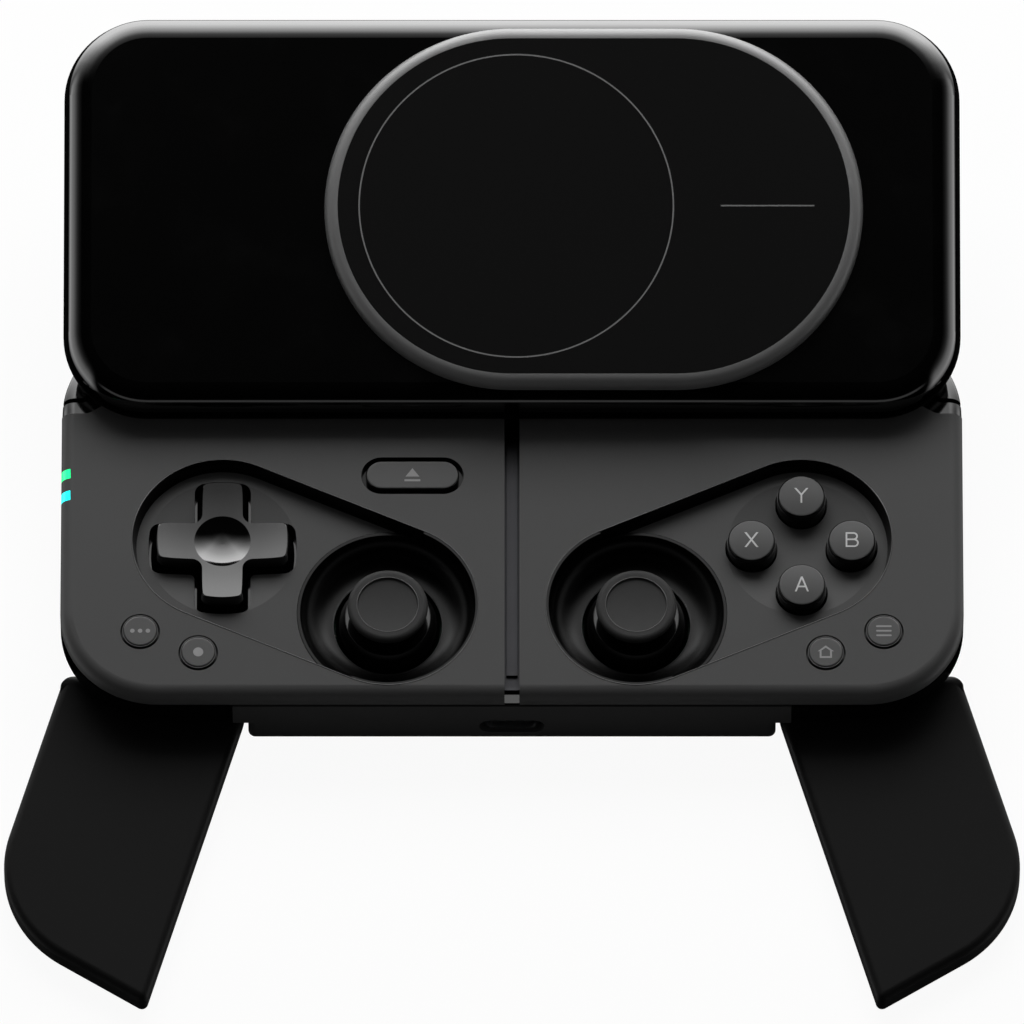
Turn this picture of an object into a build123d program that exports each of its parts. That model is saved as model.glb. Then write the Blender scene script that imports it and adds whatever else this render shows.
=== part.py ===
from build123d import *
import os
from math import atan2, cos, degrees, radians, sin, sqrt, tan

os.makedirs("parts", exist_ok=True)

# Body of the controller: a flat slab with a deeper spine under its middle.
BODY_WIDTH = 147.6
BODY_DEPTH = 69.3
BODY_CORNER = 16.0
DECK_Z = 14.8
SEAM_TOP = 11.7
SEAM_LOW = 11.0
SEAM_INSET = 0.3
BODY_BOTTOM = 5.3
DECK_ROUND = 2.1
HOLLOW_ROUND = 0.7
BOTTOM_ROUND = 2.4
WALL = 1.5
DECK_WALL = 1.3
FLOOR_WALL = 1.4
SPINE_HALF = 43.1
SPINE_NORTH_SETBACK = 1.25
SPINE_CORNER = 1.2
SPINE_EDGE = 0.5
APRON_HALF = 45.6

# Clearances shared by every piece.
JOIN_GAP = 0.1
FREE_GAP = 0.35
RUNNING = 0.05
OVERRUN = 5.0
QUARTER = 90.0

# Recesses for the cross pad, the face buttons and the sticks.
PAD_X = 47.35
PAD_Y = -5.8
RECESS_RADIUS = 14.8
RECESS_DEPTH = 3.0
RECESS_LEAN = 0.7
TUB_WALL = 1.2
DISH_RADIUS = 12.2
DISH_DEPTH = 0.9
DISH_UNDER = 10.2
STICK_X = 20.3
STICK_Y = -17.8
WELL_RADIUS = 14.8
WELL_LIP = 0.45
WELL_FLANGE = 1.6
WELL_FLANGE_THICK = 0.8
THROAT_RADIUS = 8.85
THROAT_Z = 7.2
THROAT_LOW = 6.4
THROAT_LAND = 0.3
BOWL_TOP_Z = 12.2
BOWL_UNDER = [(14.0, 8.6), (12.4, 6.9), (10.5, 6.4)]

# Centre slot and the rail under it.
SLOT_HALF = 1.23
SLOT_NORTH_SETBACK = 8.15
RAIL_HALF = 4.8
RAIL_WALL = 1.0
RAIL_BOTTOM = 9.4
RAIL_SETBACK = 2.25
RIB_HALF = 0.9
RIB_HEIGHT = 0.6
RIB_SETBACK = 3.5

# Phone plate: slides along the body, tilts on its pin, carries the magnetic mount.
TILT = 12.8
SLIDE = 50.2
PLATE_WIDTH = 147.1
PLATE_LENGTH = 67.9
PLATE_THICK = 7.0
PLATE_CORNER = 13.8
PLATE_ROUND = 4.0
PLATE_LIFT = 1.0
PIN_INSET = 4.2
PIN_RISE = 2.6
PLATE_SETBACK = 18.45
FRAME_THICK = 1.3
FRAME_EDGE = 0.5
SHADOW_GAP = 0.25
COVER_INSET = 0.6
COVER_WALL = 1.4
TILT_PIN_RADIUS = 0.8
TILT_PIN_HALF = 13.6
BARREL_RADIUS = 1.6
BARREL_HALF = 6.0
KNUCKLE_WIDTH = 3.0
NECK_HALF = 0.95
NECK_DEPTH = 1.2
FOOT_HALF = 3.2
FOOT_THICK = 1.2
FOOT_LENGTH = 10.0
FOOT_SOUTH = 1.0
GLIDE_LENGTH = 2.4
SPRING_RADIUS = 1.25
SPRING_WIRE = 0.2
SPRING_TURNS = 5

# Pill-shaped magnetic mount on the plate.
PILL_X = 13.4
PILL_RIM = 2.15
PILL_HEIGHT = 2.4
PILL_ROUND = 2.1
FACE_LENGTH = 84.0
FACE_WIDTH = 57.1
FACE_THICK = 0.6
RING_FROM_END = 29.3
RING_INNER = 22.9
RING_OUTER = 27.1
RING_MAGNETS = 16
RING_GAP_ANGLE = 2.0
MAGNET_THICK = 1.2
BAR_FROM_END = 5.85
BAR_FROM_RING = 6.45
BAR_WIDTH = 5.0

# Folding grips.
GRIP_ANGLE = 8.34
HINGE_X = 58.45
HINGE_SETBACK = 5.35
HINGE_Z = 2.6
GRIP_HALF_THICK = 2.4
GRIP_INNER = 15.25
GRIP_OUTER = 15.4
GRIP_REACH = 55.9
GRIP_END_ANGLE = 23.55
GRIP_END_ROUND = 19.6
GRIP_TIP_ROUND = 1.0
GRIP_EDGE_ROUND = 1.3
GRIP_SHOULDER = 3.8
GRIP_WALL = 1.2
GRIP_BORDER = 2.2
GRIP_LEDGE = 1.2
LID_THICK = 1.0
LID_START = 5.2
LUG_RADIUS = 2.2
LUG_WIDTH = 3.0
LUG_STEM = 2.0
GRIP_PIN_RADIUS = 0.8
GRIP_PIN_END = 1.2
LUG_SPREAD = 6.5

# Shoulder corners: bumper on top, trigger below.
CHEEK = 2.3
CHEEK_DROP = 0.5
BUMPER_GAP = 0.8
SHELF_LOW = 9.1
SHELF_TOP = 10.0
BUMPER_LOW = 10.3
BUMPER_SKIN = 1.4
BUMPER_PIN_X = 50.4
BUMPER_PIN_SETBACK = 1.35
BUMPER_PIN_RADIUS = 0.6
BUMPER_SOLID_X = 54.0
BAY_INNER = 46.9
BAY_OUTER = 64.2
BAY_DEPTH = 4.75
TRIGGER_PIN_SETBACK = 2.45
TRIGGER_PIN_Z = 7.2
TRIGGER_PIN_RADIUS = 0.7
TRIGGER_TOP = 8.5
TRIGGER_PROUD = 3.25
TRIGGER_LOW = 3.9
TRIGGER_HEEL = 1.6
TRIGGER_ROUND = 0.35
TRIGGER_PIN_END = 1.05
CORNER_ROUND = 2.0
CORNER_shares = [
    (1.08, 0.508),
    (0.942, 0.508),
    (0.874, 0.595),
    (0.806, 0.733),
    (0.705, 0.814),
    (0.617, 0.843),
    (0.617, 1.21),
    (1.08, 1.21),
]

# Keys.
CAP_RADIUS = 4.2
CAP_TOP_RADIUS = 3.82
CAP_EDGE = 0.45
CAP_CROWN = 30.0
CAP_FLANGE = 0.7
CAP_FLANGE_THICK = 0.6
CAP_SPREAD = 8.2
KEY_RADIUS = 2.85
KEY_GAP = 0.4
KEY_PROUD = 0.3
KEY_EDGE = 0.4
KEY_DEPTH = 2.2
KEY_FLANGE = 0.75
KEY_FLANGE_THICK = 0.6
PLUNGER_RADIUS = 1.1
PLUNGER_Z = 8.4
OUTER_KEY_X = 60.7
OUTER_KEY_Y = -22.8
INNER_KEY_X = 51.2
INNER_KEY_Y = -26.7
EJECT_X = -16.3
EJECT_Y = 6.05
EJECT_LENGTH = 15.3
EJECT_WIDTH = 5.3
EJECT_GAP = 0.75
EJECT_FLANGE = 1.2
CROSS_TOP_SPAN = 10.75
CROSS_SPAN = 11.75
CROSS_TOP_HALF = 3.25
CROSS_HALF = 4.2
CROSS_BOW = 0.5
CROSS_LOW = 9.2
CROSS_FLANGE_RADIUS = 12.8
CROSS_FLANGE_THICK = 0.6
CROSS_INNER_ROUND = 0.8
CROSS_OUTER_ROUND = 1.8
CROSS_EDGE = 0.35
CROSS_HOLLOW = 85.0
CROSS_DISH = 10.0
CROSS_DISH_RADIUS = 4.62
ROCK_Z = 9.6
ROCK_HALF = 1.1
ROCK_HALF_Z = 0.88
ROCK_PIN_RADIUS = 0.6
EAR_INNER = 2.0
EAR_THICK = 1.2
EAR_HALF = 0.95
POCKET_Y = 1.6
POCKET_TOP = 10.9
FORK_RADIUS = 3.6
FORK_BASE = 0.6

# Sticks.
PIVOT_Z = 5.2
DOME_RADIUS = 8.5
DOME_SKIN = 0.7
DOME_WEB = 1.0
DOME_TOP_Z = 10.1
DOME_SKIRT_Z = 5.3
SHAFT_RADIUS = 1.0
SHAFT_LOW = 3.7
SHAFT_WIDE = 1.8
SHAFT_STEP_Z = 7.6
STEM_RADIUS = 1.75
STEM_Z = 13.1
STICK_CAP_RADIUS = 6.57
STICK_CAP_LOW = 11.9
STICK_CAP_TOP = 14.8
STICK_DISC_RADIUS = 4.85
STICK_DISC_DROP = 0.35
MODULE_HALF = 4.8
MODULE_WALL = 0.6
MODULE_FLOOR = 0.4
MODULE_TOP = 6.2
MODULE_CORNER = 1.0
YOKE_X = 3.9
YOKE_Y = 3.3
YOKE_IN_X = 2.5
YOKE_IN_Y = 2.3
YOKE_HALF_Z = 0.8
GIMBAL_HALF = 1.9
GIMBAL_HALF_Z = 0.9
STICK_PIN_RADIUS = 0.5

# Boards, battery and socket.
BOARD_THICK = 0.8
BOARD_HALF_X = 70.4
BOARD_SOUTH_SETBACK = 4.65
BOARD_NORTH_SETBACK = 7.05
BOARD_CORNER = 12.0
BOARD_STICK_HOLE = 13.3
SHEET_THICK = 0.35
SHEET_HALF = 11.5
ROUND_SHEET_RADIUS = 9.6
BUMP_RADIUS = 1.6
BUMP_HEIGHT = 0.5
LOW_BUMP_SPREAD = 6.0
LOW_BUMP_HEIGHT = 0.15
LOW_BOARD_HALF = 33.0
LOW_BOARD_SETBACK = 2.05
LOW_BOARD_NORTH = -6.0
DOME_SLOT_INNER = 7.0
DOME_SLOT_OUTER = 8.6
DOME_SLOT_BRIDGE = 3.4
BATTERY_HALF = 33.0
BATTERY_SOUTH = -2.0
BATTERY_SETBACK = 4.65
BATTERY_THICK = 4.3
PORT_Z = 4.1
PORT_WIDTH = 10.75
PORT_HEIGHT = 4.2
SOCKET_WIDTH = 8.94
SOCKET_HEIGHT = 3.2
SOCKET_DEPTH = 7.3
SOCKET_WALL = 0.3
SOCKET_SETBACK = 0.5
TONGUE_WIDTH = 6.7
TONGUE_THICK = 0.7
WINDOW_X = 36.0
WINDOW_SETBACK = 2.85

# Status lights in the left side.
LIGHT_WIDTH = 1.8
LIGHT_DEPTH = 1.55
LIGHT_LOW = 12.0
LIGHT_GREEN_Y = 6.5
LIGHT_BLUE_Y = 2.5

# Screws.
SCREW_RADIUS = 0.9
HEAD_RADIUS = 1.7
HEAD_THICK = 1.1
HEAD_SINK = 0.2
HEAD_SLOT_REACH = 1.0
HEAD_SLOT_HALF = 0.28
BOSS_RADIUS = 2.3
BOSS_SPLIT_Z = 8.2
SCREW_TOP = 12.4
CASE_SCREW_X = 68.3
CASE_SCREW_Y = 12.0
SPINE_SCREW_X = 39.0
SPINE_SCREW_SETBACK = 6.65
SPINE_SCREW_TOP = 8.6
PLATE_SCREW_X = 64.0
PLATE_SCREW_SOUTH = 6.0
PLATE_SCREW_NORTH = 55.0
PLATE_BOSS = 2.2

# Places worked out from the sizes above.
HALF_W = BODY_WIDTH / 2
HALF_D = BODY_DEPTH / 2
SPINE_NORTH = HALF_D - SPINE_NORTH_SETBACK
SLOT_NORTH = HALF_D - SLOT_NORTH_SETBACK
RAIL_SOUTH = -HALF_D + RAIL_SETBACK
RIB_SOUTH = RAIL_SOUTH + RIB_SETBACK
PLATE_SOUTH_Y = HALF_D - PLATE_SETBACK
HINGE_Y = HALF_D - HINGE_SETBACK
BUMPER_PIN_Y = HALF_D - BUMPER_PIN_SETBACK
BAY_SOUTH = HALF_D - BAY_DEPTH
TRIGGER_PIN_Y = HALF_D - TRIGGER_PIN_SETBACK
TRIGGER_FRONT = HALF_D + TRIGGER_PROUD
BOARD_SOUTH = -HALF_D + BOARD_SOUTH_SETBACK
BOARD_NORTH = HALF_D - BOARD_NORTH_SETBACK
LOW_BOARD_SOUTH = -HALF_D + LOW_BOARD_SETBACK
BATTERY_NORTH = HALF_D - BATTERY_SETBACK
WINDOW_NORTH = HALF_D - WINDOW_SETBACK
SPINE_SCREW_Y = HALF_D - SPINE_SCREW_SETBACK
PILL_LENGTH = FACE_LENGTH + 2 * PILL_RIM
PILL_WIDTH = FACE_WIDTH + 2 * PILL_RIM
RING_X = PILL_X - FACE_LENGTH / 2 + RING_FROM_END
BAR_START = RING_X + RING_OUTER + BAR_FROM_RING
BAR_LENGTH = PILL_X + FACE_LENGTH / 2 - BAR_FROM_END - BAR_START
BAR_X = BAR_START + BAR_LENGTH / 2
RECESS_Z = DECK_Z - RECESS_DEPTH
TUB_Z = RECESS_Z - TUB_WALL
DECK_UNDER = DECK_Z - DECK_WALL
FLOOR_Z = BODY_BOTTOM + FLOOR_WALL
BOARD_TOP = FLOOR_Z + BOARD_THICK
LOW_BOARD_TOP = WALL + BOARD_THICK
PIN_Z = DECK_Z + PLATE_LIFT + PIN_RISE
PIN_Y = PLATE_SOUTH_Y + PIN_INSET * cos(radians(TILT)) - PIN_RISE * sin(radians(TILT))
PLATE_LOW = -PIN_RISE
PLATE_TOP = PLATE_THICK - PIN_RISE
PLATE_MID = PLATE_LENGTH / 2 - PIN_INSET
COVER_LOW = PLATE_LOW + FRAME_THICK + SHADOW_GAP
PLATE_PLACE = Pos(0, PIN_Y, PIN_Z) * Rot(TILT, 0, 0)
RAIL_NORTH = PIN_Y - FOOT_SOUTH + FOOT_LENGTH + JOIN_GAP + RAIL_WALL
RAIL_FLOOR = RAIL_BOTTOM + RAIL_WALL
RAIL_LIP = DECK_UNDER - RAIL_WALL
FOOT_Z = RAIL_FLOOR + RIB_HEIGHT + JOIN_GAP
GRIP_TAN = tan(radians(GRIP_ANGLE))
END_TAN = tan(radians(GRIP_END_ANGLE))
HINGE_PLANE = Plane(
    origin=(-HINGE_X, -HINGE_Y, HINGE_Z),
    x_dir=(cos(radians(GRIP_ANGLE)), -sin(radians(GRIP_ANGLE)), 0),
    z_dir=(0, 0, 1),
)
LUG_PLACES = [-LUG_SPREAD, 0, LUG_SPREAD]

nodes = {}


def column(outline, low, high):
    """A straight prism of a flat outline between two heights."""
    return extrude(Pos(0, 0, low) * outline, amount=high - low, dir=(0, 0, 1))


def drum(x, y, radius, low, high):
    """A round post."""
    return column(Pos(x, y) * Circle(radius), low, high)


def block(x0, x1, y0, y1, z0, z1):
    """A box between two corners."""
    size = Box(x1 - x0, y1 - y0, z1 - z0)
    return Pos((x0 + x1) / 2, (y0 + y1) / 2, (z0 + z1) / 2) * size


def rod_x(x0, x1, y, z, radius):
    """A rod along the width."""
    return Pos((x0 + x1) / 2, y, z) * Rot(0, 90, 0) * Cylinder(radius, x1 - x0)


def rod_y(y0, y1, x, z, radius):
    """A rod along the depth."""
    return Pos(x, (y0 + y1) / 2, z) * Rot(90, 0, 0) * Cylinder(radius, y1 - y0)


def mirrored(shape):
    """The same piece on the other side of the body."""
    return mirror(shape, about=Plane.YZ)


def on_side(shape, side):
    """A right-hand shape, or its mirror image on the left."""
    return shape if side > 0 else mirrored(shape)


def body_outline(inset=0):
    """Plan of the body, drawn in by an inset."""
    return RectangleRounded(BODY_WIDTH - 2 * inset, BODY_DEPTH - 2 * inset, BODY_CORNER - inset)


def rounded_body(inset, low, high, radius):
    """Body slab with its upper edge rounded."""
    solid = column(body_outline(inset), low, high)
    return fillet(solid.faces().sort_by(Axis.Z)[-1].edges(), radius)


def teardrop(pad_radius, stick_radius):
    """Plan of the right recess: a pad circle and a stick circle joined by their tangents."""
    pad = Pos(PAD_X, PAD_Y) * Circle(pad_radius)
    well = Pos(STICK_X, STICK_Y) * Circle(stick_radius)
    return make_hull(pad.edges() + well.edges())


def recess(side, low):
    """Space above a recess floor, with drafted walls."""
    top = Pos(0, 0, DECK_Z) * teardrop(RECESS_RADIUS, WELL_RADIUS)
    bottom = Pos(0, 0, low) * teardrop(RECESS_RADIUS - RECESS_LEAN, WELL_RADIUS - RECESS_LEAN)
    sunk = loft([bottom, top], ruled=True)
    above = column(teardrop(RECESS_RADIUS, WELL_RADIUS), DECK_Z, DECK_Z + OVERRUN)
    return on_side(sunk + above, side)


def dish(side):
    """Shallow ball-shaped dish in a recess floor."""
    ball = (DISH_RADIUS**2 + DISH_DEPTH**2) / (2 * DISH_DEPTH)
    hollow = Pos(side * PAD_X, PAD_Y, RECESS_Z - DISH_DEPTH + ball) * Sphere(ball)
    return hollow & drum(side * PAD_X, PAD_Y, DISH_RADIUS, RECESS_Z - DISH_DEPTH, RECESS_Z)


def corner_region(inset=0):
    """Plan of the right shoulder corner, drawn in by an inset."""
    points = [(x * HALF_W, y * HALF_D) for x, y in CORNER_shares]
    face = Polygon(*points, align=None)
    face = fillet(face.vertices(), CORNER_ROUND)
    if inset:
        face = offset(face, amount=-inset, kind=Kind.INTERSECTION)
    return face


def cross(span, half, bow, round_radius):
    """Plan of the cross pad: two arms with bowed ends."""
    reach = span - bow
    swell = (half**2 + bow**2) / (2 * bow)
    arm_x = Rectangle(2 * reach, 2 * half)
    arm_y = Rectangle(2 * half, 2 * reach)
    plan = arm_x + arm_y
    for turn in (0, 90, 180, 270):
        cap = Pos(span - swell, 0) * Circle(swell)
        keep = Pos(reach + bow, 0) * Rectangle(2 * bow + 2 * bow, 2 * half)
        plan += Rot(0, 0, turn) * (cap & keep)
    near = half + half
    inner = [v for v in plan.vertices() if abs(v.X) < near and abs(v.Y) < near]
    plan = fillet(inner, round_radius)
    outer = [v for v in plan.vertices() if max(abs(v.X), abs(v.Y)) > reach - bow]
    return fillet(outer, CROSS_OUTER_ROUND)


# Top shell.
def top_shell():
    shell = rounded_body(0, SEAM_TOP, DECK_Z, DECK_ROUND)
    hollow = rounded_body(WALL, SEAM_TOP - OVERRUN, DECK_UNDER, HOLLOW_ROUND)
    shell -= hollow
    inside = column(body_outline(WALL + WALL / 2), TUB_Z - OVERRUN, DECK_UNDER)
    rail_room = block(
        -RAIL_HALF - JOIN_GAP, RAIL_HALF + JOIN_GAP, -HALF_D, HALF_D, TUB_Z - OVERRUN, DECK_UNDER
    )
    for side in (-1, 1):
        tub = column(teardrop(RECESS_RADIUS + TUB_WALL, WELL_RADIUS + TUB_WALL), TUB_Z, DECK_UNDER)
        tub = on_side(tub, side)
        under = drum(side * PAD_X, PAD_Y, RECESS_RADIUS + TUB_WALL, DISH_UNDER, TUB_Z)
        shell += (tub + under) & inside - rail_room
    for side in (-1, 1):
        for end in (-1, 1):
            boss = drum(side * CASE_SCREW_X, end * CASE_SCREW_Y, BOSS_RADIUS, BOSS_SPLIT_Z, DECK_UNDER)
            hole = drum(
                side * CASE_SCREW_X, end * CASE_SCREW_Y, SCREW_RADIUS + RUNNING, BOSS_SPLIT_Z, SCREW_TOP
            )
            shell += boss & column(body_outline(WALL / 2), BOSS_SPLIT_Z, DECK_UNDER)
            shell -= hole
    for side in (-1, 1):
        shell -= recess(side, RECESS_Z)
        shell -= dish(side)
        shell -= drum(side * STICK_X, STICK_Y, WELL_RADIUS + JOIN_GAP, BODY_BOTTOM, DECK_Z + OVERRUN)
        flange = WELL_RADIUS + WELL_FLANGE + JOIN_GAP
        shell -= drum(side * STICK_X, STICK_Y, flange, TUB_Z - OVERRUN, TUB_Z)
        shell -= on_side(column(corner_region(), BODY_BOTTOM, DECK_Z + OVERRUN), side)
        for x, y in ((OUTER_KEY_X, OUTER_KEY_Y), (INNER_KEY_X, INNER_KEY_Y)):
            shell -= drum(side * x, y, KEY_RADIUS + KEY_GAP, DECK_UNDER - OVERRUN, DECK_Z + OVERRUN)
    for turn in (0, 90, 180, 270):
        x = PAD_X + CAP_SPREAD * cos(radians(turn))
        y = PAD_Y + CAP_SPREAD * sin(radians(turn))
        shell -= drum(x, y, CAP_RADIUS + RUNNING * 2, DISH_UNDER - JOIN_GAP, DECK_Z)
    cross_hole = Pos(-PAD_X, PAD_Y) * cross(
        CROSS_SPAN + KEY_GAP, CROSS_HALF + KEY_GAP, CROSS_BOW, CROSS_INNER_ROUND
    )
    shell -= column(cross_hole, DISH_UNDER - JOIN_GAP, DECK_Z)
    wide = 2 * EJECT_GAP
    eject_hole = Pos(EJECT_X, EJECT_Y) * SlotOverall(EJECT_LENGTH + wide, EJECT_WIDTH + wide)
    shell -= column(eject_hole, DECK_UNDER - OVERRUN, DECK_Z + OVERRUN)
    shell -= block(-SLOT_HALF, SLOT_HALF, -HALF_D - OVERRUN, SLOT_NORTH, SEAM_TOP - OVERRUN, DECK_Z + OVERRUN)
    for y in (LIGHT_GREEN_Y, LIGHT_BLUE_Y):
        shell -= light_box(y)
    return shell


def light_box(y):
    """Slot for one status light in the left edge."""
    return block(
        -HALF_W - OVERRUN, -HALF_W + LIGHT_DEPTH, y - LIGHT_WIDTH / 2, y + LIGHT_WIDTH / 2, LIGHT_LOW, DECK_Z
    )


# Thin glossy frame in the seam.
def mid_frame():
    ring = column(body_outline(SEAM_INSET), SEAM_LOW, SEAM_TOP) - column(
        body_outline(WALL + WALL / 2 - JOIN_GAP), SEAM_LOW, SEAM_TOP
    )
    for side in (-1, 1):
        ring -= on_side(column(corner_region(-JOIN_GAP), SEAM_LOW, SEAM_TOP), side)
        ring -= drum(side * STICK_X, STICK_Y, WELL_RADIUS + JOIN_GAP, SEAM_LOW, SEAM_TOP)
        for end in (-1, 1):
            ring -= drum(side * CASE_SCREW_X, end * CASE_SCREW_Y, BOSS_RADIUS + JOIN_GAP, SEAM_LOW, SEAM_TOP)
    return ring.solids().sort_by(Axis.Y)


# Lower housing with the shoulder corners and the lugs for the grips.
def lower_housing():
    outer = column(body_outline(), BODY_BOTTOM, SEAM_LOW)
    outer = fillet(outer.faces().sort_by(Axis.Z)[0].edges(), BOTTOM_ROUND)
    housing = outer - column(body_outline(WALL), FLOOR_Z, SEAM_LOW + OVERRUN)
    half_apron = APRON_HALF + JOIN_GAP
    housing -= block(-half_apron, half_apron, -HALF_D, -HALF_D + WALL + JOIN_GAP, BODY_BOTTOM, SEAM_LOW)
    housing -= block(-WINDOW_X, WINDOW_X, -HALF_D, WINDOW_NORTH, BODY_BOTTOM, FLOOR_Z)
    for side in (-1, 1):
        housing = shoulder(housing, outer, side)
        for end in (-1, 1):
            x = side * CASE_SCREW_X
            y = end * CASE_SCREW_Y
            sink = BODY_BOTTOM + HEAD_SINK + HEAD_THICK
            housing += drum(x, y, BOSS_RADIUS, FLOOR_Z, BOSS_SPLIT_Z)
            housing -= drum(x, y, SCREW_RADIUS + RUNNING, BODY_BOTTOM, BOSS_SPLIT_Z)
            housing -= drum(x, y, HEAD_RADIUS + JOIN_GAP, BODY_BOTTOM, sink)
            x = side * SPINE_SCREW_X
            y = end * SPINE_SCREW_Y
            housing += drum(x, y, BOSS_RADIUS, FLOOR_Z, SPINE_SCREW_TOP)
            housing -= drum(x, y, SCREW_RADIUS + RUNNING, BODY_BOTTOM, SPINE_SCREW_TOP)
        housing += on_side(mirrored(grip_lugs()), side)
    return housing


def shoulder(housing, outer, side):
    """Opens one corner for its bumper and trigger, and walls it off from the inside."""
    region = corner_region(JOIN_GAP)
    slab = column(body_outline(WALL / 2), SHELF_LOW, SHELF_TOP)
    shelf = column(region, SHELF_LOW, SHELF_TOP) & slab
    tall = rounded_body(JOIN_GAP, SHELF_LOW, DECK_Z - CHEEK_DROP, DECK_ROUND)
    strip = column(region - corner_region(CHEEK), SHELF_LOW, DECK_Z)
    cheek = strip & tall
    bay = block(BAY_INNER, BAY_OUTER, BAY_SOUTH, HALF_D + OVERRUN, BODY_BOTTOM - OVERRUN, SHELF_LOW)
    around = block(BAY_INNER - WALL, BAY_OUTER + WALL, BAY_SOUTH - WALL, HALF_D, BODY_BOTTOM, SHELF_LOW)
    housing -= on_side(column(corner_region(), SHELF_TOP, DECK_Z), side)
    housing += on_side((around & outer) + shelf + cheek, side)
    housing -= on_side(bay, side)
    pin_room = rod_x(
        BAY_INNER - WALL, BAY_OUTER + WALL, TRIGGER_PIN_Y, TRIGGER_PIN_Z, TRIGGER_PIN_RADIUS + RUNNING
    )
    housing -= on_side(pin_room, side)
    post_room = drum(BUMPER_PIN_X, BUMPER_PIN_Y, BUMPER_PIN_RADIUS + RUNNING, SHELF_LOW, SHELF_TOP)
    return housing - on_side(post_room, side)


def grip_lugs():
    """Three lugs under the left side that hold the grip's pin."""
    lugs = Part()
    for place in LUG_PLACES:
        low = place - LUG_WIDTH / 2
        lug = rod_x(low, low + LUG_WIDTH, 0, 0, LUG_RADIUS)
        lug += block(low, low + LUG_WIDTH, -LUG_STEM, LUG_STEM, 0, BODY_BOTTOM - HINGE_Z + FLOOR_WALL / 2)
        lug -= rod_x(low, low + LUG_WIDTH, 0, 0, GRIP_PIN_RADIUS + RUNNING)
        lugs += lug
    return HINGE_PLANE.location * lugs


# Spine cover with the apron that shows below the deck.
def spine_cover():
    depth = SPINE_NORTH + HALF_D
    plan = Pos(0, (SPINE_NORTH - HALF_D) / 2) * RectangleRounded(2 * SPINE_HALF, depth, SPINE_CORNER)
    tray = column(plan, 0, BODY_BOTTOM)
    tray = chamfer(tray.faces().sort_by(Axis.Z)[0].edges(), SPINE_EDGE)
    tray -= block(
        -SPINE_HALF + WALL, SPINE_HALF - WALL, -HALF_D + WALL, SPINE_NORTH - WALL, WALL, BODY_BOTTOM
    )
    tray += block(-APRON_HALF, APRON_HALF, -HALF_D, -HALF_D + WALL, BODY_BOTTOM, SEAM_LOW)
    port = Plane.XZ.offset(HALF_D + OVERRUN) * Pos(0, PORT_Z) * SlotOverall(PORT_WIDTH, PORT_HEIGHT)
    tray -= extrude(port, amount=-OVERRUN - WALL)
    for x, y in spine_screw_places():
        tray += drum(x, y, BOSS_RADIUS, WALL, BODY_BOTTOM)
        tray -= drum(x, y, SCREW_RADIUS + RUNNING, 0, BODY_BOTTOM)
        tray -= drum(x, y, HEAD_RADIUS + JOIN_GAP, 0, HEAD_SINK + HEAD_THICK)
    return tray


def spine_screw_places():
    return [(sx * SPINE_SCREW_X, sy * SPINE_SCREW_Y) for sx in (-1, 1) for sy in (-1, 1)]


def case_screw_places():
    return [(sx * CASE_SCREW_X, sy * CASE_SCREW_Y) for sx in (-1, 1) for sy in (-1, 1)]


def screw(x, y, head_low, top):
    """A pan-head screw driven upwards, with a cross recess in its head."""
    head = drum(x, y, HEAD_RADIUS, head_low, head_low + HEAD_THICK)
    slot = HEAD_SLOT_HALF
    reach = HEAD_SLOT_REACH
    deep = HEAD_THICK / 2
    head -= block(x - reach, x + reach, y - slot, y + slot, head_low, head_low + deep)
    head -= block(x - slot, x + slot, y - reach, y + reach, head_low, head_low + deep)
    return head + drum(x, y, SCREW_RADIUS, head_low + HEAD_THICK, top)


def case_screws():
    found = [screw(x, y, BODY_BOTTOM + HEAD_SINK, SCREW_TOP - WALL / 2) for x, y in case_screw_places()]
    found += [screw(x, y, HEAD_SINK, SPINE_SCREW_TOP - WALL / 2) for x, y in spine_screw_places()]
    return Compound(children=found)


# Boards, battery, socket and the parts on the boards.
def main_board():
    depth = BOARD_NORTH - BOARD_SOUTH
    plan = Pos(0, (BOARD_NORTH + BOARD_SOUTH) / 2) * RectangleRounded(2 * BOARD_HALF_X, depth, BOARD_CORNER)
    board = column(plan, FLOOR_Z, BOARD_TOP)
    for side in (-1, 1):
        board -= drum(side * STICK_X, STICK_Y, BOARD_STICK_HOLE, FLOOR_Z, BOARD_TOP)
    for x, y in case_screw_places() + spine_screw_places():
        board -= drum(x, y, BOSS_RADIUS + FREE_GAP, FLOOR_Z, BOARD_TOP)
    return board


def low_board():
    """Board under the sticks, slotted where the edge of a tipped dome comes down."""
    board = block(-LOW_BOARD_HALF, LOW_BOARD_HALF, LOW_BOARD_SOUTH, LOW_BOARD_NORTH, WALL, LOW_BOARD_TOP)
    slots = Circle(DOME_SLOT_OUTER) - Circle(DOME_SLOT_INNER)
    slots -= Rectangle(4 * DOME_SLOT_OUTER, DOME_SLOT_BRIDGE)
    slots -= Rectangle(DOME_SLOT_BRIDGE, 4 * DOME_SLOT_OUTER)
    for side in (-1, 1):
        board -= column(Pos(side * STICK_X, STICK_Y) * slots, WALL, LOW_BOARD_TOP)
    return board


BOARD_PART_shares = [(0.0, 0.20), (-0.24, 0.55), (0.24, 0.55), (0.30, 0.10), (-0.62, 0.62), (0.62, 0.62)]
BOARD_PART_SIZES = [
    (7.0, 7.0, 0.9),
    (4.0, 5.0, 0.7),
    (5.0, 4.0, 1.2),
    (3.0, 4.5, 1.0),
    (6.0, 4.0, 1.4),
    (6.0, 4.0, 1.4),
]


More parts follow.
